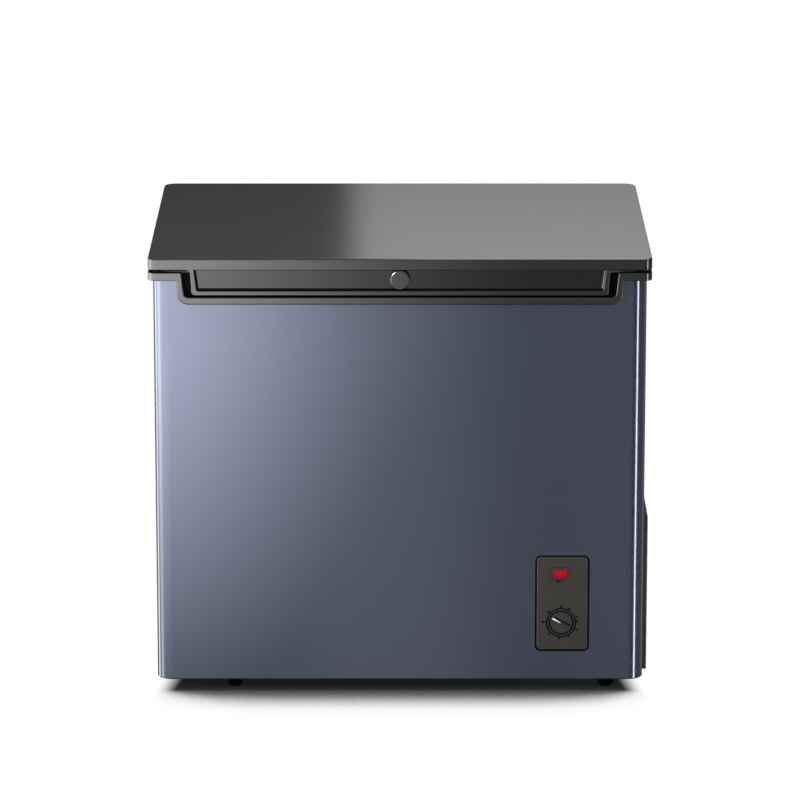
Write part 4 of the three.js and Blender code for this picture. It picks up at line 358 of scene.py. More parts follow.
# A narrow upright lamp near the right front corner, seen as a white line down it.
LINE_LEVEL = 14.0
LINE_AIM = (0.267, -0.201, 0.16)  # middle of the skin's round corner, at the lamp's height
LINE_BEARING, LINE_DISTANCE = math.radians(50.5), 0.4  # from that place
LINE_WIDTH, LINE_HEIGHT = 0.068, 0.6
bpy.ops.mesh.primitive_plane_add(
    size=1, rotation=(math.radians(90), 0, LINE_BEARING),
    location=(
        LINE_AIM[0] + LINE_DISTANCE * math.sin(LINE_BEARING),
        LINE_AIM[1] - LINE_DISTANCE * math.cos(LINE_BEARING),
        LINE_AIM[2],
    ),
)
lamp_card("line_card", LINE_LEVEL, LINE_WIDTH, LINE_HEIGHT)

# A small lamp high on the left, seen as a glint on the boss. It is flagged, so that it
# reaches the boss's cap alone.
GLINT_LEVEL = 120.0
GLINT_PLACE = (-0.825, -0.70, 1.045)
GLINT_SIZE = 0.5
GLINT_TURN = (0, math.radians(120), math.radians(30))  # turns its face to the boss
bpy.ops.mesh.primitive_plane_add(size=GLINT_SIZE, location=GLINT_PLACE, rotation=GLINT_TURN)
glint_card = lamp_card("glint_card", GLINT_LEVEL)
glint_card.active_material.cycles.emission_sampling = "AUTO"  # small and bright: aimed at
glint_target = bpy.data.collections.new("glint_target")
glint_card.light_linking.receiver_collection = glint_target

# Card behind the freezer: dark on the left, light on the right, and dimmer low down.
CARD_Y, CARD_MIDDLE = 2.5, 1.5  # how far behind, and the height of its middle
CARD_WIDTH, CARD_HEIGHT = 5, 3
CARD_EDGE = -0.080  # where dark turns to light
CARD_SOFT = 0.028
CARD_DARK, CARD_LIGHT = 0.185, 0.95
CARD_DIM_TO, CARD_FULL_FROM, CARD_DIM = 0.95, 1.13, 0.55  # two heights, and the share below
card_paint = studio_material("reflected_card")
tree = card_paint.node_tree
where = add_node(tree, "ShaderNodeTexCoord")
split = add_node(tree, "ShaderNodeSeparateXYZ", {}, {"Vector": where.outputs["Object"]})
side_step = add_node(
    tree, "ShaderNodeMapRange",
    {
        "From Min": CARD_EDGE - CARD_SOFT, "From Max": CARD_EDGE + CARD_SOFT,
        "interpolation_type": "SMOOTHSTEP",
    },
    {"Value": split.outputs["X"]},
)
height_fade = add_node(
    tree, "ShaderNodeMapRange",
    {"From Min": CARD_DIM_TO, "From Max": CARD_FULL_FROM, "To Min": CARD_DIM, "To Max": 1.0},
    {"Value": split.outputs["Z"]},
)
card_level = add_node(
    tree, "ShaderNodeMapRange", {"To Min": CARD_DARK, "To Max": CARD_LIGHT},
    {"Value": side_step.outputs[0]},
)
card_strength = add_node(
    tree, "ShaderNodeMath", {"operation": "MULTIPLY"},
    {0: card_level.outputs[0], 1: height_fade.outputs[0]},
)
card_glow = add_node(tree, "ShaderNodeEmission", {}, {"Strength": card_strength.outputs[0]})
add_node(tree, "ShaderNodeOutputMaterial", {}, {"Surface": card_glow.outputs[0]})

bpy.ops.mesh.primitive_plane_add(size=1)
card = bpy.context.object
card.name = "reflected_card"
card.data.transform(Matrix.Diagonal((CARD_WIDTH, CARD_HEIGHT, 1, 1)))
card.data.transform(Matrix.Rotation(math.radians(90), 4, "X"))
card.data.transform(Matrix.Translation((0, CARD_Y, CARD_MIDDLE)))
reflected_only(card, card_paint)

# --- Cabinet skin --------------------------------------------------------------
# Front and sides are one sheet of pre-painted steel, 0.8 mm, bent round the two front
# corners and folded in at the back and the bottom. The control plate, the side cover
# and the collar's notch each sit in a window cut in the sheet.

HAIR = 1e-4  # tells places on a face from places off it
PAST = 0.002  # how far a cutting block runs past the face that it cuts
SKIN_STEPS, CORNER_STEPS, SMALL_STEPS = 24, 12, 8  # faces across a rounded corner


def activate(piece):
    """Only this piece selected, in object mode."""
    bpy.ops.object.select_all(action="DESELECT")
    piece.select_set(True)
    bpy.context.view_layer.objects.active = piece


def block(name, low, high):
    """A box between two corners, its place in its mesh."""
    low, high = Vector(low), Vector(high)
    bpy.ops.object.select_all(action="DESELECT")
    bpy.ops.mesh.primitive_cube_add(size=1, location=(low + high) / 2, scale=high - low)
    piece = bpy.context.object
    piece.name = piece.data.name = name
    bpy.ops.object.transform_apply(location=True, rotation=True, scale=True)
    return piece


def pick_edges(piece, wanted):
    """Edit mode, with the edges selected whose two ends the test accepts."""
    activate(piece)
    bpy.ops.object.mode_set(mode="EDIT")
    bpy.ops.mesh.select_mode(type="EDGE")
    bpy.ops.mesh.select_all(action="DESELECT")
    bpy.ops.object.mode_set(mode="OBJECT")
    points = [v.co for v in piece.data.vertices]
    for edge in piece.data.edges:
        a, b = edge.vertices
        edge.select = bool(wanted(points[a], points[b]))
    bpy.ops.object.mode_set(mode="EDIT")


def round_edges(piece, radius, steps, wanted):
    """Rounds the edges whose two ends the test accepts."""
    pick_edges(piece, wanted)
    bpy.ops.mesh.bevel(offset=radius, segments=steps, affect="EDGES", clamp_overlap=True)
    bpy.ops.object.mode_set(mode="OBJECT")


def upright_at(x_sign, y):
    """A test for upright edges at one side of the middle and at one depth."""
    return lambda a, b: (
        abs(a.x - b.x) < HAIR and abs(a.y - b.y) < HAIR and abs(a.z - b.z) > HAIR
        and a.x * x_sign > 0 and abs(a.y - y) < HAIR
    )


def level_at(z):
    """A test for edges that lie at one height."""
    return lambda a, b: abs(a.z - z) < HAIR and abs(b.z - z) < HAIR


def slab(name, low, high, front_radius, back_radius, steps):
    """A box whose upright edges are rounded, with one radius in front and one behind."""
    piece = block(name, low, high)
    for y, radius in ((low[1], front_radius), (high[1], back_radius)):
        if radius > 0:
            left, right = upright_at(-1, y), upright_at(1, y)
            round_edges(piece, radius, steps, lambda a, b: left(a, b) or right(a, b))
    return piece


def carve(piece, *tools, operation="DIFFERENCE"):
    """Cuts the tools from the piece, or joins them to it, and removes them."""
    for tool in tools:
        modifier = piece.modifiers.new("carve", "BOOLEAN")
        modifier.operation = operation
        modifier.solver = "EXACT"
        modifier.object = tool
        activate(piece)
        bpy.ops.object.modifier_apply(modifier=modifier.name)
        bpy.data.objects.remove(tool)
    return piece


def smooth(piece, degrees=30):
    """Smooth shading in which the large flat faces stay flat beside their round edges."""
    activate(piece)
    bpy.ops.object.shade_smooth_by_angle(angle=math.radians(degrees))
    flat = piece.modifiers.new("flat_faces", "WEIGHTED_NORMAL")
    flat.keep_sharp = True
    flat.weight = 100
    bpy.ops.object.modifier_apply(modifier=flat.name)
    return piece


def finish_piece(piece, material, body, slot, *nodes):
    """Gives a finished piece its material, its body and the nodes it stands for. Its slot is not
    used.
    """
    piece.data.materials.clear()
    piece.data.materials.append(material)
    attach(piece, body)
    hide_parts(*nodes)
    return piece


# Pre-painted steel: a dark slate-blue coil coating with metal flakes under clear, glossy
# lacquer. The lacquer mirrors the lights on the round corners, and the flakes below it
# spread them a little and give a faint sparkle.
FLAKE_MM = 0.9  # real flakes are about 0.05 mm, drawn coarser to show
PEEL_MM = 6.0  # waves of the coating, like orange peel


def pattern_scale(mm):
    """Scale of a noise whose feature has this size, on coordinates in metres."""
    return 1000.0 / mm


def new_material(name):
    """A new material, its node tree and its shader."""
    made = bpy.data.materials.new(name)
    made.use_nodes = True
    return made, made.node_tree, made.node_tree.nodes["Principled BSDF"]


blue_steel, tree, shader = new_material("pre_painted_blue_steel")
shader.inputs["Metallic"].default_value = 0.65
shader.inputs["Coat Weight"].default_value = 0.6
shader.inputs["Coat Roughness"].default_value = 0.06
where = add_node(tree, "ShaderNodeTexCoord")
flakes = add_node(
    tree, "ShaderNodeTexNoise", {"Scale": pattern_scale(FLAKE_MM), "Detail": 1.0},
    {"Vector": where.outputs["Object"]},
)
flake_colour = add_node(
    tree, "ShaderNodeMix", {"data_type": "RGBA"}, {"Factor": flakes.outputs["Fac"]}
)
flake_colour.inputs["A"].default_value = colour("#3e4557")
flake_colour.inputs["B"].default_value = colour("#464e60")
tree.links.new(flake_colour.outputs["Result"], shader.inputs["Base Color"])
flake_gloss = add_node(
    tree, "ShaderNodeMapRange", {"To Min": 0.17, "To Max": 0.22}, {"Value": flakes.outputs["Fac"]}
)
tree.links.new(flake_gloss.outputs[0], shader.inputs["Roughness"])
peel = add_node(
    tree, "ShaderNodeTexNoise", {"Scale": pattern_scale(PEEL_MM), "Detail": 2.0},
    {"Vector": where.outputs["Object"]},
)
peel_bump = add_node(
    tree, "ShaderNodeBump", {"Strength": 0.05, "Distance": 0.0002}, {"Height": peel.outputs["Fac"]}
)
tree.links.new(peel_bump.outputs["Normal"], shader.inputs["Normal"])

skin_low, skin_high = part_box("outer_wrapper")
plate_low, plate_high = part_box("control_plate")
cover_low, cover_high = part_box("side_vent_cover")
SHEET = 0.0008
SKIN_RADIUS = 0.018
SKIN_FOLD = 0.0016  # outer radius of the fold along the bottom
REAR_FLANGE = 0.012
BOTTOM_FLANGE = 0.016
PLATE_GAP = 0.0022  # dark line round the control plate
PLATE_RADIUS = 0.0046
COVER_RIM = 0.010  # side cover's overlap on the skin
COVER_SLOPE = 0.022  # height of the cover's slanted top

skin = slab("cabinet_skin", skin_low, skin_high, SKIN_RADIUS, 0, SKIN_STEPS)
round_edges(skin, SKIN_FOLD, 5, level_at(skin_low.z))
hollow = slab(
    "hollow",
    skin_low + Vector((SHEET, SHEET, SHEET)),
    skin_high + Vector((-SHEET, -SHEET, PAST)),
    SKIN_RADIUS - SHEET, 0, SKIN_STEPS,
)
rear_window = block(
    "rear_window",
    (skin_low.x + REAR_FLANGE, skin_high.y - PAST, skin_low.z + SHEET),
    (skin_high.x - REAR_FLANGE, skin_high.y + PAST, skin_high.z + PAST),
)
bottom_window = block(
    "bottom_window",
    (skin_low.x + BOTTOM_FLANGE, skin_low.y + BOTTOM_FLANGE, skin_low.z - PAST),
    (skin_high.x - BOTTOM_FLANGE, skin_high.y - BOTTOM_FLANGE, skin_low.z + PAST),
)
side_window = block(
    "side_window",
    (skin_high.x - PAST, cover_low.y + COVER_RIM, cover_low.z + COVER_RIM),
    (skin_high.x + PAST, cover_high.y - COVER_RIM, cover_high.z - COVER_SLOPE - COVER_RIM),
)


def front_to_back(a, b):
    """Edges that run straight back."""
    return abs(a.x - b.x) < HAIR and abs(a.z - b.z) < HAIR and abs(a.y - b.y) > HAIR


def along_y_at(x_sign, z):
    """A test for edges that run straight back at one side and at one height."""
    return lambda a, b: front_to_back(a, b) and a.x * x_sign > 0 and abs(a.z - z) < HAIR


def plate_block(name, grow, front, back, radius, steps):
    """A block with the control plate's outline, grown all round, with rounded corners."""
    piece = block(
        name,
        (plate_low.x - grow, front, plate_low.z - grow),
        (plate_high.x + grow, back, plate_high.z + grow),
    )
    round_edges(piece, radius, steps, front_to_back)
    return piece


control_window = plate_block(
    "control_window", PLATE_GAP, skin_low.y - PAST, skin_low.y + 2 * PAST,
    PLATE_RADIUS + PLATE_GAP, SMALL_STEPS,
)

collar_low, collar_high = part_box("top_collar")
APRON_HALF = 0.2414  # lid's apron, half its width at the top
APRON_TAPER = 0.0018
APRON_DROP = 0.0299
NOTCH_GAP = 0.0101  # between apron and notch, at the top
NOTCH_GAP_FOOT = 0.0084
NOTCH_GAP_BELOW = 0.002
NOTCH_RADIUS = 0.0045
NOTCH_WALL = 0.002
SEAT = 0.0003  # clearance between pieces
notch_floor = lid_low.z - NOTCH_GAP_BELOW


def notch_block(name, grow, front, back, steps):
    """A block with the outline of the collar's notch, grown all round."""
    top = collar_high.z + PAST
    half = APRON_HALF + NOTCH_GAP + grow
    foot_half = APRON_HALF - APRON_TAPER + NOTCH_GAP_FOOT + grow
    piece = block(name, (-half, front, notch_floor - grow), (half, back, top))
    pick_edges(piece, level_at(notch_floor - grow))
    bpy.ops.transform.resize(value=(foot_half / half, 1, 1), center_override=(0, 0, notch_floor))
    bpy.ops.object.mode_set(mode="OBJECT")
    for side in (-1, 1):
        round_edges(piece, NOTCH_RADIUS + grow, steps, along_y_at(side, notch_floor - grow))
    return piece


skin_notch = notch_block(
    "skin_notch", NOTCH_WALL + SEAT, skin_low.y - PAST, skin_low.y + 2 * PAST, 8
)
carve(skin, hollow, rear_window, bottom_window, side_window, control_window, skin_notch)
smooth(skin)
finish_piece(skin, blue_steel, "cabinet", "blue_steel", "outer_wrapper")

# --- Collar --------------------------------------------------------------------
# One moulding in black ABS: a flat land for the gasket with a low lip round it, a skirt
# over the skin's edge, a throat down into the tank, and the notch that the apron fills.

COLLAR_LIP = 0.0034
COLLAR_SKIRT = 0.0095  # from the lip's top to the skirt's lower edge
COLLAR_PLATE = 0.0025
COLLAR_THROAT = 0.018
COLLAR_THROAT_WALL = 0.0017
COLLAR_EDGE = 0.0009
COLLAR_FRONT_RADIUS = 0.0095
COLLAR_BACK_RADIUS = 0.014
NOTCH_LEG = 0.005
NOTCH_BORDER = 0.0085
NOTCH_BORDER_RADIUS = 0.0135
NOTCH_BORDER_EDGE = 0.0014
NOTCH_EDGE = 0.0014
NOTCH_DEPTH = 0.013
NOTCH_PICK = (0.002, 0.0015, 0.001)  # its rounded edges: room at the sides, behind, below
LOOKS_UP = 0.5  # least upward part of such a face's normal
MOUTH_RADIUS = 0.023
MOUTH_STEPS = 16
tank_low, tank_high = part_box("inner_liner")
LINER_FLANGE = 0.012
LINER_WALL = 0.001  # tank sheet
tank_side = tank_high.x - LINER_FLANGE
tank_front = tank_low.y + LINER_FLANGE
tank_back = tank_high.y - LINER_FLANGE
mouth_inset = SEAT + COLLAR_THROAT_WALL
mouth_low = Vector((-tank_side + mouth_inset, tank_front + mouth_inset, 0))
mouth_high = Vector((tank_side - mouth_inset, tank_back - mouth_inset, 0))
land = collar_high.z - COLLAR_LIP
collar_under = collar_high.z - COLLAR_SKIRT

# Moulded ABS, black in the mass: satin, with a fine spark-eroded grain.
GRAIN_MM = 0.8  # real grain is about 0.1 mm, drawn coarser to show


def grained_abs(name, code, specular, gloss):
    """ABS whose gloss follows its grain: the material and the grain's node."""
    made, tree, shader = new_material(name)
    shader.inputs["Base Color"].default_value = colour(code)
    shader.inputs["Specular IOR Level"].default_value = specular
    where = add_node(tree, "ShaderNodeTexCoord")
    grain = add_node(
        tree, "ShaderNodeTexNoise", {"Scale": pattern_scale(GRAIN_MM), "Detail": 2.0},
        {"Vector": where.outputs["Object"]},
    )
    grain_gloss = add_node(
        tree, "ShaderNodeMapRange", {"To Min": gloss[0], "To Max": gloss[1]},
        {"Value": grain.outputs["Fac"]},
    )
    tree.links.new(grain_gloss.outputs[0], shader.inputs["Roughness"])
    return made, grain


satin_black, grain = grained_abs("satin_black_abs", "#08090a", 0.72, (0.18, 0.25))
tree = satin_black.node_tree
grain_bump = add_node(
    tree, "ShaderNodeBump", {"Strength": 0.04, "Distance": 0.0001}, {"Height": grain.outputs["Fac"]}
)
tree.links.new(grain_bump.outputs["Normal"], tree.nodes["Principled BSDF"].inputs["Normal"])

MERGE = 3e-5  # corners that a cut leaves closer than this are made one
SHARP = 35  # degrees between two faces, past which their edge is sharp


def pick_sharp(piece, low, high):
    """Edit mode, with the sharp edges selected that lie between two corners."""
    activate(piece)
    bpy.ops.object.mode_set(mode="EDIT")
    bpy.ops.mesh.select_all(action="SELECT")
    bpy.ops.mesh.remove_doubles(threshold=MERGE)
    bpy.ops.mesh.select_mode(type="EDGE")
    bpy.ops.mesh.select_all(action="DESELECT")
    bpy.ops.mesh.edges_select_sharp(sharpness=math.radians(SHARP))
    bpy.ops.object.mode_set(mode="OBJECT")
    points = [v.co for v in piece.data.vertices]
    chosen = [edge.select for edge in piece.data.edges]
    inside = [all(low[i] <= p[i] <= high[i] for i in range(3)) for p in points]
    for edge, sharp in zip(piece.data.edges, chosen):
        a, b = edge.vertices
        edge.select = sharp and inside[a] and inside[b]
    for vertex in piece.data.vertices:
        vertex.select = False
    bpy.ops.object.mode_set(mode="EDIT")


def soften(piece, radius, steps, low, high):
    """Rounds the sharp edges that lie between two corners."""
    pick_sharp(piece, low, high)
    bpy.ops.mesh.bevel(offset=radius, segments=steps, affect="EDGES", clamp_overlap=False)
    bpy.ops.object.mode_set(mode="OBJECT")


def mouth_block(name, inset, bottom, top):
    """A block with the outline of the tank's mouth, moved in all round."""
    radius = MOUTH_RADIUS - inset
    return slab(
        name,
        (mouth_low.x + inset, mouth_low.y + inset, bottom),
        (mouth_high.x - inset, mouth_high.y - inset, top),
        radius, radius, MOUTH_STEPS,
    )


collar = slab(
    "collar_frame",
    (collar_low.x, collar_low.y, collar_under), collar_high,
    COLLAR_FRONT_RADIUS, COLLAR_BACK_RADIUS, CORNER_STEPS,
)
round_edges(collar, COLLAR_EDGE, 5, level_at(collar_high.z))
round_edges(collar, COLLAR_EDGE, 5, level_at(collar_under))
skirt_room = slab(
    "skirt_room",
    (skin_low.x - SEAT, skin_low.y - SEAT, collar_under - PAST),
    (skin_high.x + SEAT, skin_high.y + SEAT, land - COLLAR_PLATE),
    SKIN_RADIUS + SEAT, 0, CORNER_STEPS,
)
lip_width = skin_low.y - SEAT - collar_low.y
land_room = slab(
    "land_room",
    (collar_low.x + lip_width, collar_low.y + lip_width, land),
    (collar_high.x - lip_width, collar_high.y - lip_width, collar_high.z + PAST),
    COLLAR_FRONT_RADIUS - lip_width, COLLAR_BACK_RADIUS - lip_width, CORNER_STEPS,
)
carve(collar, skirt_room, land_room)

border_half = APRON_HALF + NOTCH_GAP + NOTCH_LEG
border_foot = notch_floor - NOTCH_BORDER
border = block(
    "notch_border",
    (-border_half, collar_low.y, border_foot), (border_half, skin_low.y - SEAT, land),
)
for side in (-1, 1):
    round_edges(border, NOTCH_BORDER_RADIUS, CORNER_STEPS, along_y_at(side, border_foot))


def front_edge(y):
    """A test for edges on a face that looks forward."""
    return lambda a, b: max(a.y, b.y) < y + HAIR


def all_above(name, height):
    """A block that takes in all that is above one height."""
    return block(name, (-1, -1, height), (1, 1, 1))


round_edges(
    border, NOTCH_BORDER_EDGE, 4,
    lambda a, b: front_edge(collar_low.y)(a, b) and min(a.z, b.z) < land - HAIR,
)
notch_back = collar_low.y + NOTCH_DEPTH
tub = notch_block(
    "notch_tub", NOTCH_WALL, collar_low.y + NOTCH_BORDER_EDGE, notch_back + NOTCH_WALL, 8
)
carve(tub, all_above("above_land", land))
throat = mouth_block("throat", -COLLAR_THROAT_WALL, land - COLLAR_THROAT, land)
carve(collar, border, tub, throat, operation="UNION")
notch = notch_block("notch", 0, collar_low.y - PAST, notch_back, SMALL_STEPS)
mouth = mouth_block("mouth", 0, land - COLLAR_THROAT - PAST, collar_high.z + PAST)
carve(collar, notch, mouth)
soften(
    collar, NOTCH_EDGE, 4,
    (-border_half + NOTCH_PICK[0], collar_low.y - HAIR, notch_floor - NOTCH_PICK[2]),
    (border_half - NOTCH_PICK[0], collar_low.y + NOTCH_PICK[1], collar_high.z + HAIR),
)
smooth(collar)
finish_piece(collar, satin_black, "cabinet", "black_plastic", "top_collar")

# Inside the notch and on top of the lip the faces are rough, barely reflect and look plain black:
# painted shade for the dark gaps there.
painted_shade_black = grained_abs("rough_black_abs", "#060607", 0.15, (0.7, 0.85))[0]
collar.data.materials.append(painted_shade_black)
for face in collar.data.polygons:
    middle = face.center
    in_notch = (
        abs(middle.x) < APRON_HALF + NOTCH_GAP + HAIR
        and notch_floor - HAIR < middle.z < collar_high.z
        and collar_low.y + 2 * NOTCH_BORDER_EDGE < middle.y < notch_back + HAIR
    )
    on_lip = middle.z > collar_high.z - COLLAR_EDGE and face.normal.z > LOOKS_UP
    if in_notch or on_lip:
        face.material_index = 1

# --- Lid shell -----------------------------------------------------------------
# One moulding in gloss black: a flat top with a rounded band, and along the front an
# apron that hangs into the collar's notch, with a finger pocket on each side of a boss.

LID_BAND = 0.0136
LID_WALL = 0.0026
LID_EDGE = 0.0018
LID_FRONT_RADIUS = 0.0095
LID_BACK_RADIUS = 0.0145
APRON_DEPTH = 0.011
APRON_CORNER = 0.004
APRON_FLARE = 0.0055
APRON_EDGE = 0.0012
APRON_LIMIT = 0.26  # lies between the apron's sides and the lid's corners
POCKET_LEG = 0.0049
POCKET_LEG_FOOT = 0.0061
POCKET_DROP = 0.0242
POCKET_DEPTH = 0.0093
POCKET_FOOT_DEPTH = 0.007
POCKET_RADIUS = 0.002
POCKET_FILLET = 0.0022
POCKET_EDGE = 0.0010
POCKET_BACK = 0.004  # what lies deeper than this belongs to the pocket's back
POLISH_FROM, POLISH_TO = 0.0010, 0.0002  # depths below the top between which it changes
BAND_ROUGHNESS, TOP_ROUGHNESS = 0.2, 0.15
LOOKS_DOWN, LOOKS_IN, LOOKS_FORWARD = -0.5, 0.4, -0.9  # limits of a face's normal
CAP_SEAT = 0.0025  # depth of the recess that the cap lies in
BOSS_RADIUS = 0.0115
CAP_EDGE = 0.0015
CAP_SIDE = 0.0095  # the rim is rounded beside the pocket only, this far above and below

lid_under = lid_high.z - LID_BAND
lid_front = lid_low.y
apron_back = lid_front + APRON_DEPTH
foot_half = APRON_HALF - APRON_TAPER

lid = block("lid_moulding", (lid_low.x, lid_front, lid_under), lid_high)
activate(lid)
bpy.ops.object.mode_set(mode="EDIT")
for place, normal in (
    ((APRON_HALF, 0, 0), (1, 0, 0)),
    ((-APRON_HALF, 0, 0), (1, 0, 0)),
    ((0, apron_back, 0), (0, 1, 0)),
):
    bpy.ops.mesh.select_all(action="SELECT")
    bpy.ops.mesh.bisect(plane_co=place, plane_no=normal)
bpy.ops.mesh.select_mode(type="FACE")
bpy.ops.mesh.select_all(action="DESELECT")
bpy.ops.object.mode_set(mode="OBJECT")
for face in lid.data.polygons:
    middle = face.center
    under_apron = abs(middle.x) < APRON_HALF and middle.y < apron_back
    face.select = under_apron and face.normal.z < LOOKS_DOWN
bpy.ops.object.mode_set(mode="EDIT")
bpy.ops.mesh.extrude_region_move(TRANSFORM_OT_translate={"value": (0, 0, -APRON_DROP)})
bpy.ops.transform.resize(
    value=(foot_half / APRON_HALF, 1, 1), center_override=(0, lid_front, lid_low.z)
)
bpy.ops.mesh.select_all(action="SELECT")
bpy.ops.mesh.dissolve_limited(angle_limit=math.radians(1))
bpy.ops.object.mode_set(mode="OBJECT")

for side in (-1, 1):
    flare, front_corner = along_y_at(side, lid_under), upright_at(side, lid_front)
    round_edges(lid, APRON_FLARE, 6, lambda a, b: flare(a, b) and abs(a.x) < APRON_LIMIT)
    round_edges(lid, APRON_CORNER, 6, along_y_at(side, lid_low.z))
    round_edges(
        lid, LID_FRONT_RADIUS, CORNER_STEPS,
        lambda a, b: front_corner(a, b) and abs(a.x) > APRON_LIMIT,
    )
    round_edges(lid, LID_BACK_RADIUS, CORNER_STEPS, upright_at(side, lid_high.y))
round_edges(lid, LID_EDGE, 6, level_at(lid_high.z))


def lower_rim(a, b):
    """The band's lower edge and the apron's front edge."""
    in_front = max(a.y, b.y) < lid_front + HAIR and max(a.z, b.z) < lid_under + HAIR
    outer = level_at(lid_under)(a, b) and max(abs(a.x), abs(b.x)) > APRON_LIMIT
    return in_front or outer


round_edges(lid, APRON_EDGE, 5, lower_rim)

pocket_half = APRON_HALF - POCKET_LEG
pocket_foot_half = APRON_HALF - POCKET_LEG_FOOT - APRON_TAPER
pocket_floor = lid_under - POCKET_DROP
pocket = block(
    "finger_pocket",
    (-pocket_half, lid_front - PAST, pocket_floor),
    (pocket_half, lid_front + POCKET_DEPTH, lid_under),
)
pick_edges(pocket, level_at(pocket_floor))
bpy.ops.transform.resize(value=(pocket_foot_half / pocket_half, 1, 1), center_override=(0, 0, 0))
bpy.ops.object.mode_set(mode="OBJECT")
pick_edges(pocket, lambda a, b: level_at(pocket_floor)(a, b) and min(a.y, b.y) > lid_front)
bpy.ops.transform.translate(value=(0, POCKET_FOOT_DEPTH - POCKET_DEPTH, 0))
bpy.ops.object.mode_set(mode="OBJECT")
for side in (-1, 1):
    round_edges(pocket, POCKET_RADIUS, 5, along_y_at(side, pocket_floor))
round_edges(pocket, POCKET_FILLET, 5, lambda a, b: min(a.y, b.y) > lid_front + POCKET_BACK)

cap_low, cap_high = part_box("handle_boss_cap")
cap_middle = (cap_low + cap_high) / 2
cap_radius = (cap_high.x - cap_low.x) / 2


def disc(name, middle, radius, front, back, steps=64):
    """A short round bar along Y."""
    bpy.ops.object.select_all(action="DESELECT")
    bpy.ops.mesh.primitive_cylinder_add(
        vertices=steps, radius=radius, depth=back - front,
        location=(middle.x, (front + back) / 2, middle.z), rotation=(math.radians(90), 0, 0),
    )
    piece = bpy.context.object
    piece.name = piece.data.name = name
    bpy.ops.object.transform_apply(location=True, rotation=True, scale=True)
    return piece


lid_room = slab(
    "lid_room",
    (lid_low.x + LID_WALL, apron_back, lid_under - PAST),
    (lid_high.x - LID_WALL, lid_high.y - LID_WALL, lid_high.z - LID_WALL),
    0, LID_BACK_RADIUS - LID_WALL, SMALL_STEPS,
)
band_room = slab(
    "band_room",
    (lid_low.x + LID_WALL, lid_front + LID_WALL, lid_under + LID_BAND / 2 + SEAT),
    (lid_high.x - LID_WALL, apron_back + PAST, lid_high.z - LID_WALL),
    LID_FRONT_RADIUS - LID_WALL, 0, SMALL_STEPS,
)
carve(lid, pocket, lid_room, band_room)
soften(
    lid, POCKET_EDGE, 4,
    (-pocket_half - HAIR, lid_front - HAIR, pocket_floor - HAIR),
    (pocket_half + HAIR, lid_front + HAIR, lid_under + HAIR),
)
boss = disc("boss", cap_middle, BOSS_RADIUS, lid_front + CAP_SEAT, apron_back - HAIR)
carve(lid, boss, operation="UNION")
cap_seat = disc(
    "cap_seat", cap_middle, BOSS_RADIUS + SEAT, lid_front - PAST, lid_front + CAP_SEAT
)
carve(lid, cap_seat)
smooth(lid)

# Black ABS from a polished mould: like a mirror on top, and a little duller on the band
# and the apron.
gloss_black, tree, shader = new_material("gloss_black_abs")
shader.inputs["Base Color"].default_value = colour("#060607")
shader.inputs["Specular IOR Level"].default_value = 0.66
where = add_node(tree, "ShaderNodeTexCoord")
split = add_node(tree, "ShaderNodeSeparateXYZ", {}, {"Vector": where.outputs["Object"]})
polish = add_node(
    tree, "ShaderNodeMapRange",
    {
        "From Min": lid_high.z - POLISH_FROM, "From Max": lid_high.z - POLISH_TO,
        "To Min": BAND_ROUGHNESS, "To Max": TOP_ROUGHNESS,
    },
    {"Value": split.outputs["Z"]},
)
tree.links.new(polish.outputs[0], shader.inputs["Roughness"])
finish_piece(lid, gloss_black, "lid", "black_gloss", "lid_shell")

# Painted shade: all that faces down, and the pocket's floor and left wall, take the rough black
# that barely reflects, and the pocket's back takes a copy of the gloss that reflects less, so that
# they read dark.
pocket_shade_gloss = gloss_black.copy()
pocket_shade_gloss.name = "half_polished_abs"
pocket_shade_gloss.node_tree.nodes["Principled BSDF"].inputs["Specular IOR Level"].default_value = 0.46
lid.data.materials.append(painted_shade_black)
lid.data.materials.append(pocket_shade_gloss)
for face in lid.data.polygons:
    middle, facing = face.center, face.normal
    in_pocket = (
        abs(middle.x) < pocket_half
        and lid_front + HAIR < middle.y < lid_front + POCKET_DEPTH
        and pocket_floor - HAIR < middle.z < lid_under + HAIR
    )
    if facing.z < LOOKS_DOWN or (in_pocket and max(facing.z, facing.x) > LOOKS_IN):
        face.material_index = 1
    elif in_pocket and facing.y < LOOKS_FORWARD:
        face.material_index = 2

# Cap: a bare disc in satin ABS, its rim rounded beside the pocket, snapped into the boss.
cap = disc("boss_cap", cap_middle, cap_radius, cap_low.y, cap_high.y)
soften(
    cap, CAP_EDGE, 4,
    (cap_low.x - HAIR, cap_low.y - HAIR, cap_middle.z - CAP_SIDE),
    (cap_high.x + HAIR, cap_low.y + HAIR, cap_middle.z + CAP_SIDE),
)
smooth(cap)
finish_piece(cap, satin_black, "lid", "black_gloss", "handle_boss_cap")
glint_target.objects.link(cap)

# Lid foam: the hollow between shell and liner is foamed full, so both bond to it.

TINT_STOPS = (0.35, 0.65)  # levels of the noise between which the colour changes


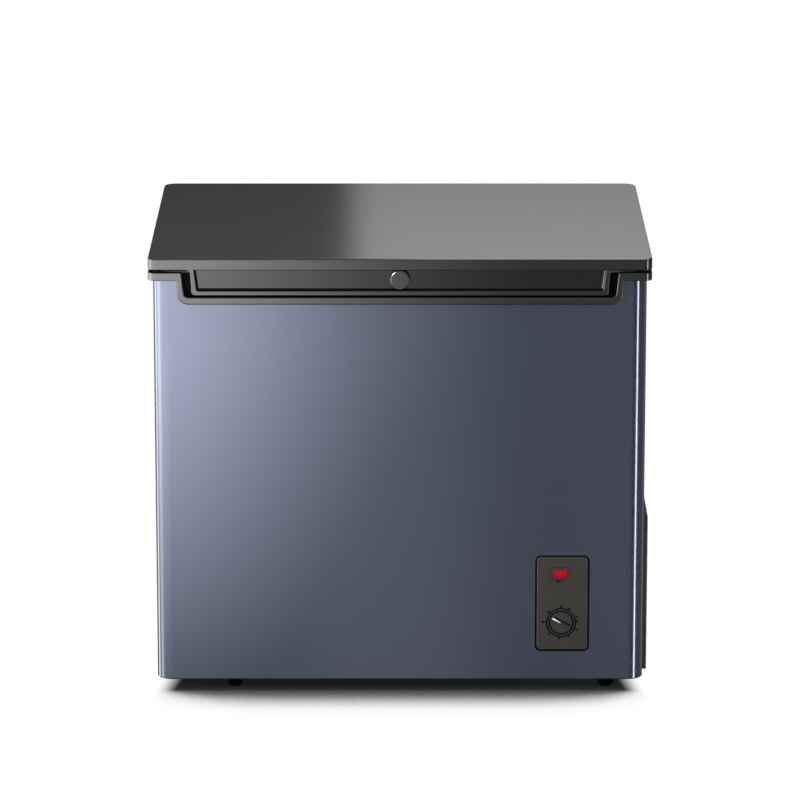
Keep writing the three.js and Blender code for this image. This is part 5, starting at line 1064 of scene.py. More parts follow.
def surface(name, light, dark, grain_mm, gloss, relief_mm, sockets=()):
    """A material whose colour, gloss and relief all follow one noise of a real grain size."""
    made, tree, shader = new_material(name)
    for socket, value in sockets:
        shader.inputs[socket].default_value = value
    where = add_node(tree, "ShaderNodeTexCoord")
    noise = add_node(
        tree, "ShaderNodeTexNoise", {"Scale": pattern_scale(grain_mm), "Detail": 3.0},
        {"Vector": where.outputs["Object"]},
    )
    tint = add_node(tree, "ShaderNodeValToRGB", {}, {"Fac": noise.outputs["Fac"]})
    for mark, position, code in zip(tint.color_ramp.elements, TINT_STOPS, (dark, light)):
        mark.position = position
        mark.color = colour(code)
    tree.links.new(tint.outputs["Color"], shader.inputs["Base Color"])
    sheen = add_node(
        tree, "ShaderNodeMapRange", {"To Min": gloss[0], "To Max": gloss[1]},
        {"Value": noise.outputs["Fac"]},
    )
    tree.links.new(sheen.outputs[0], shader.inputs["Roughness"])
    bump = add_node(
        tree, "ShaderNodeBump", {"Strength": 0.5, "Distance": relief_mm / 1000},
        {"Height": noise.outputs["Fac"]},
    )
    tree.links.new(bump.outputs["Normal"], shader.inputs["Normal"])
    return made


def dress(material, *names):
    """Gives a finished material to CAD nodes that keep their own shape."""
    for name in names:
        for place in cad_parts[name].material_slots:
            place.material = material


# Rigid polyurethane foam: pale cream, matt, with the cells of the cut surface.
foam = surface("rigid_polyurethane_foam", "#e6d6a8", "#cdb883", 2.5, (0.85, 0.95), 0.6)
dress(foam, "lid_foam")

# --- Lid liner -------------------------------------------------------------------
# The lid's white inside, vacuum-formed from 1.4 mm high-impact polystyrene: a flat rim
# that closes the shell, and a shallow tray that sinks into the tank's mouth.

LID_LINER_WALL = 0.0014
PLUG_DROP = 0.030
PLUG_EDGE = 0.006
PLUG_CLEARANCE = 0.012
LID_INSET = 0.0029  # liner's rim inside the shell's outline

# Vacuum-formed polystyrene: white, half gloss, faintly uneven where it was drawn.
white_styrene = surface(
    "vacuum_formed_white_polystyrene", "#f0f1f0", "#ecefee", 18.0, (0.28, 0.36), 0.02,
    (("Subsurface Weight", 0.08), ("Subsurface Scale", 0.004)),
)
liner_plate = slab(
    "lid_liner",
    (lid_low.x + LID_INSET, apron_back + SEAT, lid_under),
    (lid_high.x - LID_INSET, lid_high.y - LID_INSET, lid_under + LID_LINER_WALL),
    LID_FRONT_RADIUS - LID_INSET, LID_BACK_RADIUS - LID_INSET, CORNER_STEPS,
)


def plug_block(name, inset, bottom, top):
    """The tray that sinks into the mouth, moved in all round."""
    piece = mouth_block(name, PLUG_CLEARANCE + inset, bottom, top)
    round_edges(piece, PLUG_EDGE - inset / 2, 8, level_at(bottom))
    return piece


plug_bottom = lid_under - PLUG_DROP
plug = plug_block("plug", 0, plug_bottom, lid_under + LID_LINER_WALL / 2)
plug_room = plug_block(
    "plug_room", LID_LINER_WALL, plug_bottom + LID_LINER_WALL, lid_under + 2 * PAST
)
carve(liner_plate, plug, operation="UNION")
carve(liner_plate, plug_room)
smooth(liner_plate)
finish_piece(liner_plate, white_styrene, "lid", "white_plastic", "lid_inner_liner")

# --- Lid gasket ------------------------------------------------------------------
# Soft grey PVC, welded at its corners: a base that holds in the liner's edge, a bellows,
# and a flat bag with a magnet strip that pulls it down onto the collar.

GASKET_WIDTH = 0.011
BELLOWS_INSET = 0.0022
MAGNET_BAG = 0.0026  # height of the bag with the magnet
GASKET_BASE = 0.0012
GASKET_CORNER = 0.0185
BAG_EDGE = 0.0009

gasket_low, gasket_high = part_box("lid_gasket")


def gasket_ring(name, inset, bottom, top, edge=0.0):
    """One layer of the gasket, moved in on both its sides."""
    low = Vector((gasket_low.x + inset, gasket_low.y + inset, bottom))
    high = Vector((gasket_high.x - inset, gasket_high.y - inset, top))
    ring = slab(name, low, high, GASKET_CORNER - inset, GASKET_CORNER - inset, CORNER_STEPS)
    width = GASKET_WIDTH - 2 * inset
    inner_low = low + Vector((width, width, -PAST))
    inner_high = high + Vector((-width, -width, PAST))
    radius = GASKET_CORNER - inset - width
    carve(ring, slab("gasket_room", inner_low, inner_high, radius, radius, CORNER_STEPS))
    if edge:
        round_edges(ring, edge, 3, level_at(bottom))
        round_edges(ring, edge, 3, level_at(top))
    return ring


bag_top = gasket_low.z + MAGNET_BAG
base_bottom = gasket_high.z - GASKET_BASE
gasket = gasket_ring("lid_gasket_strip", 0, gasket_low.z, bag_top, BAG_EDGE)
bellows = gasket_ring("bellows", BELLOWS_INSET, bag_top - SEAT, base_bottom + SEAT)
base = gasket_ring("base", 0, base_bottom, gasket_high.z)
carve(gasket, bellows, base, operation="UNION")
smooth(gasket)

# Plasticised PVC: mid grey, dull, slightly waxy.
grey_pvc = surface(
    "soft_grey_pvc", "#8d9092", "#83878a", 4.0, (0.45, 0.6), 0.08, (("Subsurface Weight", 0.05),)
)
finish_piece(gasket, grey_pvc, "lid", "grey_rubber", "lid_gasket")

# --- Tank --------------------------------------------------------------------------
# The cabinet's white inside, drawn in one piece from polystyrene sheet: a deep well on
# the left, a raised floor over the compressor on the right, and a rim under the collar.

TANK_RADIUS = 0.025
TANK_FILLET = 0.015
STEP_EDGE = 0.003  # rounding of the raised floor's edge
STEP_X = 0.0645
STEP_FLOOR = 0.248
RIM_HEIGHT = 0.0008


def tank_block(name, right, bottom, grow):
    """The room of the tank's deep or wide part, grown all round."""
    piece = slab(
        name,
        (-tank_side - grow, tank_front - grow, bottom - grow),
        (right + grow, tank_back + grow, tank_high.z + PAST),
        TANK_RADIUS + grow, TANK_RADIUS + grow, CORNER_STEPS,
    )
    round_edges(piece, TANK_FILLET + grow, 6, level_at(bottom - grow))
    return piece


tank_floor = tank_low.z + LINER_WALL
tank = tank_block("tank_liner", STEP_X, tank_floor, LINER_WALL)
wide_shell = tank_block("wide_shell", tank_side, STEP_FLOOR, LINER_WALL)
tank_rim = slab(
    "tank_rim", (tank_low.x, tank_low.y, tank_high.z - RIM_HEIGHT), tank_high,
    TANK_RADIUS + LINER_FLANGE, TANK_RADIUS + LINER_FLANGE, CORNER_STEPS,
)
carve(tank, wide_shell, tank_rim, operation="UNION")
tank_room = tank_block("tank_room", STEP_X, tank_floor, 0)
carve(tank_room, tank_block("wide_room", tank_side, STEP_FLOOR, 0), operation="UNION")
round_edges(
    tank_room, STEP_EDGE, 5,
    lambda a, b: level_at(STEP_FLOOR)(a, b) and all(abs(p.x - STEP_X) < HAIR for p in (a, b)),
)
carve(tank, tank_room, all_above("above_rim", tank_high.z))
smooth(tank)
finish_piece(tank, white_styrene, "cabinet", "white_liner", "inner_liner")

# --- Basket ------------------------------------------------------------------------
# Steel wire, cross-welded and dipped in white vinyl: a thick rim, thinner rings and
# hoops below it, and two hooks on each long side that slide on the collar's land.

RIM_WIRE = 0.0022
MESH_WIRE = 0.0015
WIRE_SIDES = 8
HOOP_BEND = 0.008
HOOK_BEND = 0.006
RIM_HALF = Vector((0.100, 0.15535))
BASKET_FLOOR_HALF = Vector((0.084, 0.13335))
RIM_Z = 0.468
BASKET_FLOOR_Z = 0.290
BASKET_RADIUS = 0.020
CROSS_HOOPS = 7
LONG_HOOPS = 11
RINGS = 4
HOOK_SPACING = 0.110
HOOK_REACH = 0.022
HOOK_OFFSET = 0.8  # hooks' middle beyond the rim's, as a share of the rim wire's radius
WELD = 0.9 * MESH_WIRE  # crossing wires sink this far into each other

basket_low, basket_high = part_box("wire_basket")
basket_middle = (basket_low + basket_high) / 2
basket_middle.z = 0


def bent(points, radius, closed=False, steps=5):
    """A route through points with its corners rounded to one bend radius."""
    points = [Vector(p) for p in points]
    count = len(points)
    route = []
    for i, corner in enumerate(points):
        if not closed and i in (0, count - 1):
            route.append(corner)
            continue
        before = (points[i - 1] - corner).normalized()
        after = (points[(i + 1) % count] - corner).normalized()
        half = before.angle(after) / 2
        middle = corner + (before + after).normalized() * (radius / math.sin(half))
        start = corner + before * (radius / math.tan(half)) - middle
        end = corner + after * (radius / math.tan(half)) - middle
        turn = start.angle(end)
        for k in range(steps + 1):
            from_start = start * math.sin((1 - k / steps) * turn)
            from_end = end * math.sin(k / steps * turn)
            route.append(middle + (from_start + from_end) / math.sin(turn))
    return route


def wire(name, route, radius, closed=False, sides=4):
    """A round wire or tube along a route, as a mesh."""
    curve = bpy.data.curves.new(name, "CURVE")
    curve.dimensions = "3D"
    curve.bevel_depth = radius
    curve.bevel_resolution = sides // 2 - 1
    curve.use_fill_caps = True
    spline = curve.splines.new("POLY")
    spline.points.add(len(route) - 1)
    for point, place in zip(spline.points, route):
        point.co = (*place, 1)
    spline.use_cyclic_u = closed
    piece = bpy.data.objects.new(name, curve)
    bpy.context.scene.collection.objects.link(piece)
    activate(piece)
    bpy.ops.object.convert(target="MESH")
    return bpy.context.object


def join(name, pieces):
    """Several meshes as one object."""
    bpy.ops.object.select_all(action="DESELECT")
    for piece in pieces:
        piece.select_set(True)
    bpy.context.view_layer.objects.active = pieces[0]
    if len(pieces) > 1:
        bpy.ops.object.join()
    whole = bpy.context.object
    whole.name = whole.data.name = name
    return whole


def basket_at(x, y, z):
    """A place counted from the basket's upright middle line."""
    return basket_middle + Vector((x, y, z))


def hoops(count, axis, floor_z):
    """Wires from rim to rim under the basket's floor, spaced out along X (0) or Y (1)."""
    corners = (
        (-1, RIM_HALF, RIM_Z), (-1, BASKET_FLOOR_HALF, floor_z),
        (1, BASKET_FLOOR_HALF, floor_z), (1, RIM_HALF, RIM_Z),
    )
    made = []
    for i in range(count):
        share = 2 * (i + 1) / (count + 1) - 1
        route = []
        for end, half, z in corners:
            place = [0, 0, z]
            place[axis] = share * half[axis]
            place[1 - axis] = end * (half[1 - axis] - WELD)
            route.append(basket_at(*place))
        made.append(wire("hoop", bent(route, HOOP_BEND), MESH_WIRE, False, WIRE_SIDES))
    return made


wires = []
for i in range(RINGS):
    half = RIM_HALF.lerp(BASKET_FLOOR_HALF, i / RINGS)
    z = RIM_Z + (BASKET_FLOOR_Z - RIM_Z) * i / RINGS
    corners = [
        basket_at(side_x * half.x, side_y * half.y, z)
        for side_x, side_y in ((1, -1), (1, 1), (-1, 1), (-1, -1))
    ]
    thickness = RIM_WIRE if i == 0 else MESH_WIRE
    wires.append(wire("ring", bent(corners, BASKET_RADIUS, True), thickness, True, WIRE_SIDES))
wires += hoops(CROSS_HOOPS, 0, BASKET_FLOOR_Z - WELD)
wires += hoops(LONG_HOOPS, 1, BASKET_FLOOR_Z)
hang_y = RIM_HALF.y + HOOK_OFFSET * RIM_WIRE  # hooks are welded to the rim's outside
hook_z = land + SEAT + RIM_WIRE
for side_x in (-1, 1):
    for side_y in (-1, 1):
        x = side_x * HOOK_SPACING / 2
        hook = (
            basket_at(x, side_y * hang_y, RIM_Z - 2 * RIM_WIRE),
            basket_at(x, side_y * hang_y, hook_z),
            basket_at(x, side_y * (hang_y + HOOK_REACH), hook_z),
        )
        wires.append(wire("hook", bent(hook, HOOK_BEND), RIM_WIRE, False, WIRE_SIDES))
basket = join("hanging_basket", wires)
smooth(basket)

# Dipped vinyl: bright white, rounded over the welds, with a soft gloss.
white_vinyl = surface("vinyl_dipped_steel_wire", "#f1f2f0", "#e6e8e6", 6.0, (0.25, 0.36), 0.1)
finish_piece(basket, white_vinyl, "basket", "white_wire", "wire_basket")

# Insulation between skin and tank: foamed in place, so it fills every gap.
dress(foam, "insulation_foam")

# --- Control plate -----------------------------------------------------------------
# A small plate low on the front, moulded in brown-grey ABS, with a groove round the
# thermostat's dial whose floor is painted black as painted shade. It snaps into the control
# box; its marks are pad-printed in black.

DIAL_HOLE = 0.0147
DIAL_GROOVE = (0.0160, 0.0178)  # inner and outer radius
GROOVE_DEPTH = 0.0009
PLATE_EDGE = 0.0010
DIAL_SIDES = 96
LENS_RADIUS = 0.0008
RECESS_RADIUS = 0.0015
BEZEL_NECK = 0.0015  # bezel round the lens, inside the plate
BEZEL_FLANGE = 0.0026  # the same, in front of the plate
LAMP_GAP = 0.0007  # shadow line round the bezel
PRINT_THICKNESS = 0.00006
DOT = 0.00145
DOT_SIDES = 16
DOTS = (  # degrees from the right as seen from the front, and distance from the dial in mm
    (178, 21.6), (139, 19.9), (61.5, 19.3), (22, 19.5), (7, 19.3), (-26, 19.4), (-62, 18.9),
    (-97, 18.9), (-135, 19.7), (91, 19.6),
)
TICKS = (  # degrees, from and to in mm
    (178, 17.6, 21.6), (91, 17.9, 20.4), (139, 17.8, 19.9), (-26, 19.4, 21.8),
)
TICK_WIDTH = 0.0014
SCALE_LENGTH, SCALE_HEIGHT = 0.0078, 0.0030  # printed wedge under the lamp
SCALE_MIDDLE = Vector((0.1862, 0, 0.1333))
SCALE_TIP = 0.1  # height left at its thin end, as a share

lens_low, lens_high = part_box("indicator_lens")
knob_low, knob_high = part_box("thermostat_knob")
dial = (knob_low + knob_high) / 2


def window_block(name, grow, front, back, radius=LENS_RADIUS):
    """A block with the lens's outline, grown all round."""
    piece = block(
        name,
        (lens_low.x - grow, front, lens_low.z - grow),
        (lens_high.x + grow, back, lens_high.z + grow),
    )
    round_edges(piece, radius, 5, front_to_back)
    return piece


def groove_ring(name, front, back):
    """A ring that fills the dial's groove from front to back."""
    ring = disc(name, dial, DIAL_GROOVE[1], front, back, DIAL_SIDES)
    inside = disc(
        "inside", dial, DIAL_GROOVE[0], plate_low.y - 2 * PAST, plate_high.y + PAST, DIAL_SIDES
    )
    return carve(ring, inside)


plate = plate_block("control_plate", 0, plate_low.y, plate_high.y, PLATE_RADIUS, CORNER_STEPS)
round_edges(plate, PLATE_EDGE, 3, front_edge(plate_low.y))
groove_floor = plate_low.y + GROOVE_DEPTH
groove = groove_ring("groove", plate_low.y - PAST, groove_floor)
dial_hole = disc(
    "dial_hole", dial, DIAL_HOLE, plate_low.y - PAST, plate_high.y + PAST, DIAL_SIDES
)
window = window_block("window", BEZEL_NECK + 2 * SEAT, plate_low.y - PAST, plate_high.y + PAST)
lamp_recess = window_block(
    "lamp_recess", BEZEL_FLANGE + LAMP_GAP, plate_low.y - PAST, plate_low.y + LAMP_GAP,
    RECESS_RADIUS,
)
carve(plate, groove, dial_hole, window, lamp_recess)
smooth(plate)

# Moulded ABS, brown-grey in the mass: dull satin from a fine grain.
brown_grey = surface(
    "brown_grey_abs", "#32302c", "#2d2b27", 0.8, (0.36, 0.44), 0.01, (("Specular IOR Level", 0.45),)
)
finish_piece(plate, brown_grey, "cabinet", "control_plastic", "control_plate")


def around_dial(piece, degrees):
    """Turns a piece made at the origin and moves it to the dial's axis."""
    turn = Matrix.Rotation(-math.radians(degrees), 4, "Y")
    piece.data.transform(Matrix.Translation((dial.x, 0, dial.z)) @ turn)
    return piece


def taper(piece, wanted, share, middle):
    """Narrows the piece in height to a share, towards a middle, at the edges wanted."""
    pick_edges(piece, wanted)
    bpy.ops.transform.resize(value=(1, 1, share), center_override=tuple(middle))
    bpy.ops.object.mode_set(mode="OBJECT")


print_front = plate_low.y - PRINT_THICKNESS
marks = []
for degrees, mm in DOTS:
    place = Vector((mm / 1000, 0, 0))
    dot = disc("dot", place, DOT, print_front, plate_low.y, DOT_SIDES)
    marks.append(around_dial(dot, degrees))
for degrees, start, end in TICKS:
    tick = block(
        "tick",
        (start / 1000, print_front, -TICK_WIDTH / 2), (end / 1000, plate_low.y, TICK_WIDTH / 2),
    )
    marks.append(around_dial(tick, degrees))
half_scale = Vector((SCALE_LENGTH / 2, 0, SCALE_HEIGHT / 2))
wedge = block(
    "wedge",
    SCALE_MIDDLE - half_scale + Vector((0, print_front, 0)),
    SCALE_MIDDLE + half_scale + Vector((0, plate_low.y, 0)),
)
taper(
    wedge, lambda a, b: min(a.x, b.x) > SCALE_MIDDLE.x,
    SCALE_TIP, SCALE_MIDDLE + Vector((0, 0, half_scale.z)),
)
# Painted shade: a black ring on the groove's floor keeps the groove dark.
groove_shade_ring = groove_ring("groove_shade_ring", groove_floor - 2 * PRINT_THICKNESS, groove_floor)
plate_print_and_shade = join("plate_print_and_shade", marks + [wedge, groove_shade_ring])

# Pad-printing ink: black and matt, a thin film. It fills the ring's groove as painted shade, and
# draws the knob's painted shadow line.
ink_and_painted_shade = surface(
    "black_pad_printing_ink", "#020202", "#050505", 0.5, (0.6, 0.7), 0.005,
    (("Specular IOR Level", 0.1),),
)
finish_piece(plate_print_and_shade, ink_and_painted_shade, "cabinet", "black_plastic")

# --- Indicator lamp ------------------------------------------------------------------
# A small bezel that snaps into the plate, and a red acrylic lens that snaps into the
# bezel in front of the lamp.

bezel_low, bezel_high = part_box("indicator_bezel")
BEZEL_RADIUS = 0.001
BEZEL_EDGE = 0.0003
LENS_EDGE = 0.0005
bezel = window_block("lamp_bezel", BEZEL_FLANGE, bezel_low.y, plate_low.y - SEAT, BEZEL_RADIUS)
round_edges(bezel, BEZEL_EDGE, 3, front_edge(bezel_low.y))
bezel_neck = window_block("neck", BEZEL_NECK, plate_low.y - 2 * SEAT, bezel_high.y)
carve(bezel, bezel_neck, operation="UNION")
carve(bezel, window_block("opening", SEAT, bezel_low.y - PAST, bezel_high.y + PAST))
smooth(bezel)
finish_piece(bezel, brown_grey, "cabinet", "control_plastic", "indicator_bezel")

lens = window_block("lamp_lens", 0, lens_low.y, lens_high.y)
round_edges(lens, LENS_EDGE, 4, front_edge(lens_low.y))
smooth(lens)

# Transparent red acrylic: deep, saturated red with a polished face.
red_acrylic = surface(
    "red_acrylic", "#c8040c", "#bd0209", 5.0, (0.12, 0.18), 0.005,
    (("Specular IOR Level", 0.15), ("Subsurface Weight", 0.2), ("Subsurface Scale", 0.002)),
)
finish_piece(lens, red_acrylic, "cabinet", "red_lens", "indicator_lens")

# Lamp body behind the lens: frosted polystyrene over a neon lamp, pale and half gloss.
frosted_lamp = surface("frosted_polystyrene", "#e2e4e2", "#d3d6d4", 2.0, (0.3, 0.4), 0.02)
dress(frosted_lamp, "indicator_lamp")

# --- Thermostat knob -----------------------------------------------------------------
# One moulding in the plate's plastic: a sunk disc with a raised grip bar across it, on a
# hub that pushes onto the thermostat's flat spindle.

KNOB_RADIUS = 0.0130
HUB_RADIUS = 0.0055
HUB_LENGTH = 0.006
KNOB_THICKNESS = 0.003
SUNK = 0.0006
KNOB_RIM = 0.0011
KNOB_EDGE = ((0, 0.0004), (0.0002, 0.0001), (0.0005, 0))  # in from the side, down from the top
GRIP_WIDTH = 0.0030
GRIP_DEPTH = 0.0034
GRIP_INSET = 0.0007  # its ends, inside the knob's side
GRIP_CREST = 0.62  # its crest's width, as a share
GRIP_END, GRIP_EDGE = 0.0012, 0.0003
GRIP_TURN = 150  # degrees from the right as seen from the front
SPINDLE_HOLE = 0.0033
SOCKET_SIDES = 32


def turned(name, rings, place, turn, steps=48):
    """A turned solid made of (radius, distance) rings, its axis turned about X."""
    bpy.ops.object.select_all(action="DESELECT")
    radius, reached = rings[0]
    bpy.ops.mesh.primitive_circle_add(
        vertices=steps, radius=radius, fill_type="NGON", location=(0, 0, reached)
    )
    piece = bpy.context.object
    piece.name = piece.data.name = name
    bpy.ops.object.transform_apply(location=True, rotation=True, scale=True)
    bpy.ops.object.mode_set(mode="EDIT")
    bpy.ops.mesh.select_all(action="SELECT")
    for next_radius, next_reached in rings[1:]:
        rise = (0, 0, next_reached - reached)
        bpy.ops.mesh.extrude_region_move(TRANSFORM_OT_translate={"value": rise})
        widen = next_radius / radius
        bpy.ops.transform.resize(value=(widen, widen, 1), center_override=(0, 0, next_reached))
        radius, reached = next_radius, next_reached
    bpy.ops.mesh.select_all(action="SELECT")
    bpy.ops.mesh.normals_make_consistent(inside=False)
    bpy.ops.object.mode_set(mode="OBJECT")
    piece.data.transform(Matrix.Translation(place) @ Matrix.Rotation(math.radians(turn), 4, "X"))
    return piece


FORWARDS, BACKWARDS = 90, -90  # turns that point a turned solid along -Y or +Y
disc_top = HUB_LENGTH + KNOB_THICKNESS
knob = turned(
    "dial_knob",
    (
        (HUB_RADIUS, 0), (HUB_RADIUS, HUB_LENGTH), (KNOB_RADIUS, HUB_LENGTH),
        *((KNOB_RADIUS - inward, disc_top - down) for inward, down in KNOB_EDGE),
        (KNOB_RADIUS - KNOB_RIM, disc_top), (KNOB_RADIUS - KNOB_RIM - SUNK, disc_top - SUNK),
    ),
    (dial.x, knob_high.y, dial.z), FORWARDS, DIAL_SIDES,
)
grip_half = KNOB_RADIUS - GRIP_INSET
grip = block(
    "grip",
    (-grip_half, knob_low.y, -GRIP_WIDTH / 2), (grip_half, knob_low.y + GRIP_DEPTH, GRIP_WIDTH / 2),
)
taper(grip, front_edge(knob_low.y), GRIP_CREST, (0, knob_low.y, 0))
round_edges(grip, GRIP_END, 5, lambda a, b: abs(a.x - b.x) < HAIR and abs(a.y - b.y) > HAIR)
round_edges(grip, GRIP_EDGE, 3, front_edge(knob_low.y))
carve(knob, around_dial(grip, GRIP_TURN), operation="UNION")
socket = disc(
    "socket", dial, SPINDLE_HOLE, knob_high.y - HUB_LENGTH, knob_high.y + PAST, SOCKET_SIDES
)
carve(knob, socket)
smooth(knob)
finish_piece(knob, brown_grey, "dial", "control_plastic", "thermostat_knob")

# Dust seal: a thin washer behind the plate, round the hub, cut from black polyethylene
# foam. It is matt and soft, and closes the gap round the knob, where its dead black is painted
# shade.
SEAL_THICKNESS = 0.0008
SEAL_RADIUS = 0.0165
seal = disc(
    "dial_dust_seal", dial, SEAL_RADIUS, plate_high.y + SEAT / 2, plate_high.y + SEAL_THICKNESS
)
carve(seal, disc("hub_hole", dial, HUB_RADIUS + SEAT, plate_high.y - PAST, plate_high.y + PAST))
gap_shade_foam = surface(
    "black_pe_foam_as_gap_shade", "#050505", "#020202", 0.8, (0.85, 0.95), 0.05, (("Specular IOR Level", 0.05),)
)
finish_piece(seal, gap_shade_foam, "cabinet", "black_rubber")

# Pointer: white paint on the grip's crest, from its tip to the middle, and a black line
# on the disc along the grip's upper side, painted as the grip's shadow.
POINTER_WIDTH = 0.0023
POINTER_TIP, POINTER_END = 0.0118, 0.0012  # distances from the dial's middle
POINTER_TAPER = 0.35  # width left at its inner end, as a share
pointer = block(
    "knob_pointer", (POINTER_END, knob_low.y - PRINT_THICKNESS, -POINTER_WIDTH / 2),
    (POINTER_TIP, knob_low.y, POINTER_WIDTH / 2),
)
taper(pointer, lambda a, b: max(a.x, b.x) < POINTER_END + HAIR, POINTER_TAPER, (0, 0, 0))
white_paint = surface("white_pointer_paint", "#f4f4f2", "#ecece9", 1.0, (0.3, 0.4), 0.01)
finish_piece(around_dial(pointer, GRIP_TURN), white_paint, "dial", "white_plastic")

SHADE_WIDTH, SHADE_INSET = 0.0020, 0.0012
SHADE_TAPER = 0.5  # width left beside the pointer's tip, as a share
sunk_face = knob_high.y - disc_top + SUNK
shade_edge = -GRIP_WIDTH / 2
shade_line = block(
    "knob_shade_line",
    (-grip_half + SHADE_INSET, sunk_face - PRINT_THICKNESS, shade_edge - SHADE_WIDTH),
    (grip_half - SHADE_INSET, sunk_face, shade_edge),
)
taper(shade_line, lambda a, b: min(a.x, b.x) > 0, SHADE_TAPER, (0, 0, shade_edge))
finish_piece(around_dial(shade_line, GRIP_TURN), ink_and_painted_shade, "dial", "black_plastic")

# Behind the plate stands a moulded box for the thermostat. It and the compressor's relay
# are black polypropylene, matt all over, which looks black in every gap: painted shade there.
black_pp_and_gap_shade = surface(
    "black_polypropylene_and_gap_shade", "#060606", "#030303", 1.5, (0.75, 0.85), 0.03,
    (("Specular IOR Level", 0.1),),
)
dress(black_pp_and_gap_shade, "control_box", "starter_relay")

# --- Side cover ------------------------------------------------------------------------
# A louvred cover in black ABS over the air inlet on the right side. Slanted blades behind
# its slots hide the compressor's bay. It snaps into the window in the skin.

COVER_WALL = 0.0022
COVER_EDGE = 0.0015
COVER_FULL = 0.203  # height up to which it stands fully out
COVER_TOP_PROUD = 0.001
COVER_ROOM_SLOPE = 0.008  # drop of the hollow's roof towards the skin's side
LOUVRE_COLUMNS = 2
LOUVRE_ROWS = 10
LOUVRE_PITCH = 0.0155
LOUVRE_OPEN = 0.005
LOUVRE_BRIDGE = 0.014
LOUVRE_LOW = 0.036
LOUVRE_CORNER = 0.0015
BLADE_LENGTH = 0.009
BLADE_THICKNESS = 0.0014
BLADE_SLANT = 54  # degrees
BLADE_LAP = 0.001  # how far its ends run into the cover
cover_inner = skin_high.x + SEAT


def copies(piece, places):
    """Copies of a piece, each with its own mesh, one moved to each place."""
    made = []
    for place in places:
        twin = piece.copy()
        twin.data = piece.data.copy()
        bpy.context.scene.collection.objects.link(twin)
        twin.data.transform(Matrix.Translation(place))
        made.append(twin)
    bpy.data.objects.remove(piece)
    return made


cover = block("louvred_side_cover", (cover_inner, cover_low.y, cover_low.z), cover_high)
activate(cover)
bpy.ops.object.mode_set(mode="EDIT")
bpy.ops.mesh.select_all(action="SELECT")
bpy.ops.mesh.bisect(plane_co=(0, 0, COVER_FULL), plane_no=(0, 0, 1))
bpy.ops.object.mode_set(mode="OBJECT")
pick_edges(
    cover, lambda a, b: level_at(cover_high.z)(a, b) and min(a.x, b.x) > cover_high.x - HAIR
)
bpy.ops.transform.translate(value=(cover_inner + COVER_TOP_PROUD - cover_high.x, 0, 0))
bpy.ops.object.mode_set(mode="OBJECT")


def cover_edge(a, b):
    """The edges of the cover's upright face, and the two beside its slanted top."""
    on_face = min(a.x, b.x) > cover_high.x - HAIR and min(a.z, b.z) < COVER_FULL + HAIR
    climbs = max(a.z, b.z) > COVER_FULL + HAIR and abs(a.z - b.z) > HAIR
    return on_face or (climbs and min(a.x, b.x) > cover_inner + HAIR)


round_edges(cover, COVER_EDGE, 5, cover_edge)
cover_room = block(
    "cover_room",
    (cover_inner - PAST, cover_low.y + COVER_WALL, cover_low.z + COVER_WALL),
    (cover_high.x - COVER_WALL, cover_high.y - COVER_WALL, COVER_FULL + COVER_ROOM_SLOPE),
)
pick_edges(cover_room, lambda a, b: min(a.z, b.z) > COVER_FULL and min(a.x, b.x) > cover_inner)
bpy.ops.transform.translate(value=(0, 0, -COVER_ROOM_SLOPE))
bpy.ops.object.mode_set(mode="OBJECT")
louvre_from = cover_low.y + LOUVRE_BRIDGE
louvre_step = (cover_high.y - cover_low.y - LOUVRE_BRIDGE) / LOUVRE_COLUMNS
louvre_width = louvre_step - LOUVRE_BRIDGE
louvre_places = [
    (0, louvre_from + column * louvre_step, LOUVRE_LOW + row * LOUVRE_PITCH)
    for column in range(LOUVRE_COLUMNS) for row in range(LOUVRE_ROWS)
]
slot = block(
    "slot",
    (cover_high.x - COVER_WALL - PAST, 0, 0), (cover_high.x + PAST, louvre_width, LOUVRE_OPEN),
)
round_edges(slot, LOUVRE_CORNER, 4, lambda a, b: abs(a.x - b.x) > HAIR)
carve(cover, cover_room, join("slots", copies(slot, louvre_places)))
blade = block(
    "blade",
    (-BLADE_LENGTH, -BLADE_LAP, -BLADE_THICKNESS / 2),
    (0, louvre_width + BLADE_LAP, BLADE_THICKNESS / 2),
)
blade.data.transform(
    Matrix.Translation((cover_high.x - COVER_WALL / 2, 0, LOUVRE_OPEN + BLADE_THICKNESS))
    @ Matrix.Rotation(-math.radians(BLADE_SLANT), 4, "Y")
)
carve(cover, join("blades", copies(blade, louvre_places)), operation="UNION")
smooth(cover)
finish_piece(cover, satin_black, "cabinet", "black_plastic", "side_vent_cover")

# --- Rear panel ------------------------------------------------------------------------
# A zinc-coated steel sheet, 0.8 mm, with three pressed beads and an opening to the
# compressor's bay. It closes the foamed wall behind the tank.

REAR_BEAD_HEIGHT = 0.016
REAR_BEAD_REACH = 0.2487
REAR_BEADS = (0.245, 0.3241, 0.4032)  # heights of their middles
COVER_OVERLAP = 0.006
SCREW_HOLE = 0.0023
HOLE_SIDES = 24

panel_low, panel_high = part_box("rear_panel")
vent_low, vent_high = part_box("rear_vent_cover")
gland_low, gland_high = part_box("cord_gland")
gland_middle = (gland_low + gland_high) / 2
panel_face = vent_low.y - SEAT

rear_sheet = block("rear_sheet", panel_low, (panel_high.x, panel_face, panel_high.z))
bead = block(
    "bead", (-REAR_BEAD_REACH, panel_face - SHEET / 2, -REAR_BEAD_HEIGHT / 2),
    (REAR_BEAD_REACH, panel_high.y, REAR_BEAD_HEIGHT / 2),
)
round_edges(bead, REAR_BEAD_HEIGHT / 2 - HAIR, CORNER_STEPS, front_to_back)
round_edges(bead, panel_high.y - panel_face, 4, lambda a, b: min(a.y, b.y) > panel_high.y - HAIR)
beads = join("beads", copies(bead, [(0, 0, z) for z in REAR_BEADS]))
bay_window = block(
    "bay_window",
    (vent_low.x + COVER_OVERLAP, panel_low.y - PAST, vent_low.z + COVER_OVERLAP),
    (vent_high.x - COVER_OVERLAP, panel_face + PAST, vent_high.z - COVER_OVERLAP),
)
carve(rear_sheet, beads, operation="UNION")
carve(rear_sheet, bay_window)
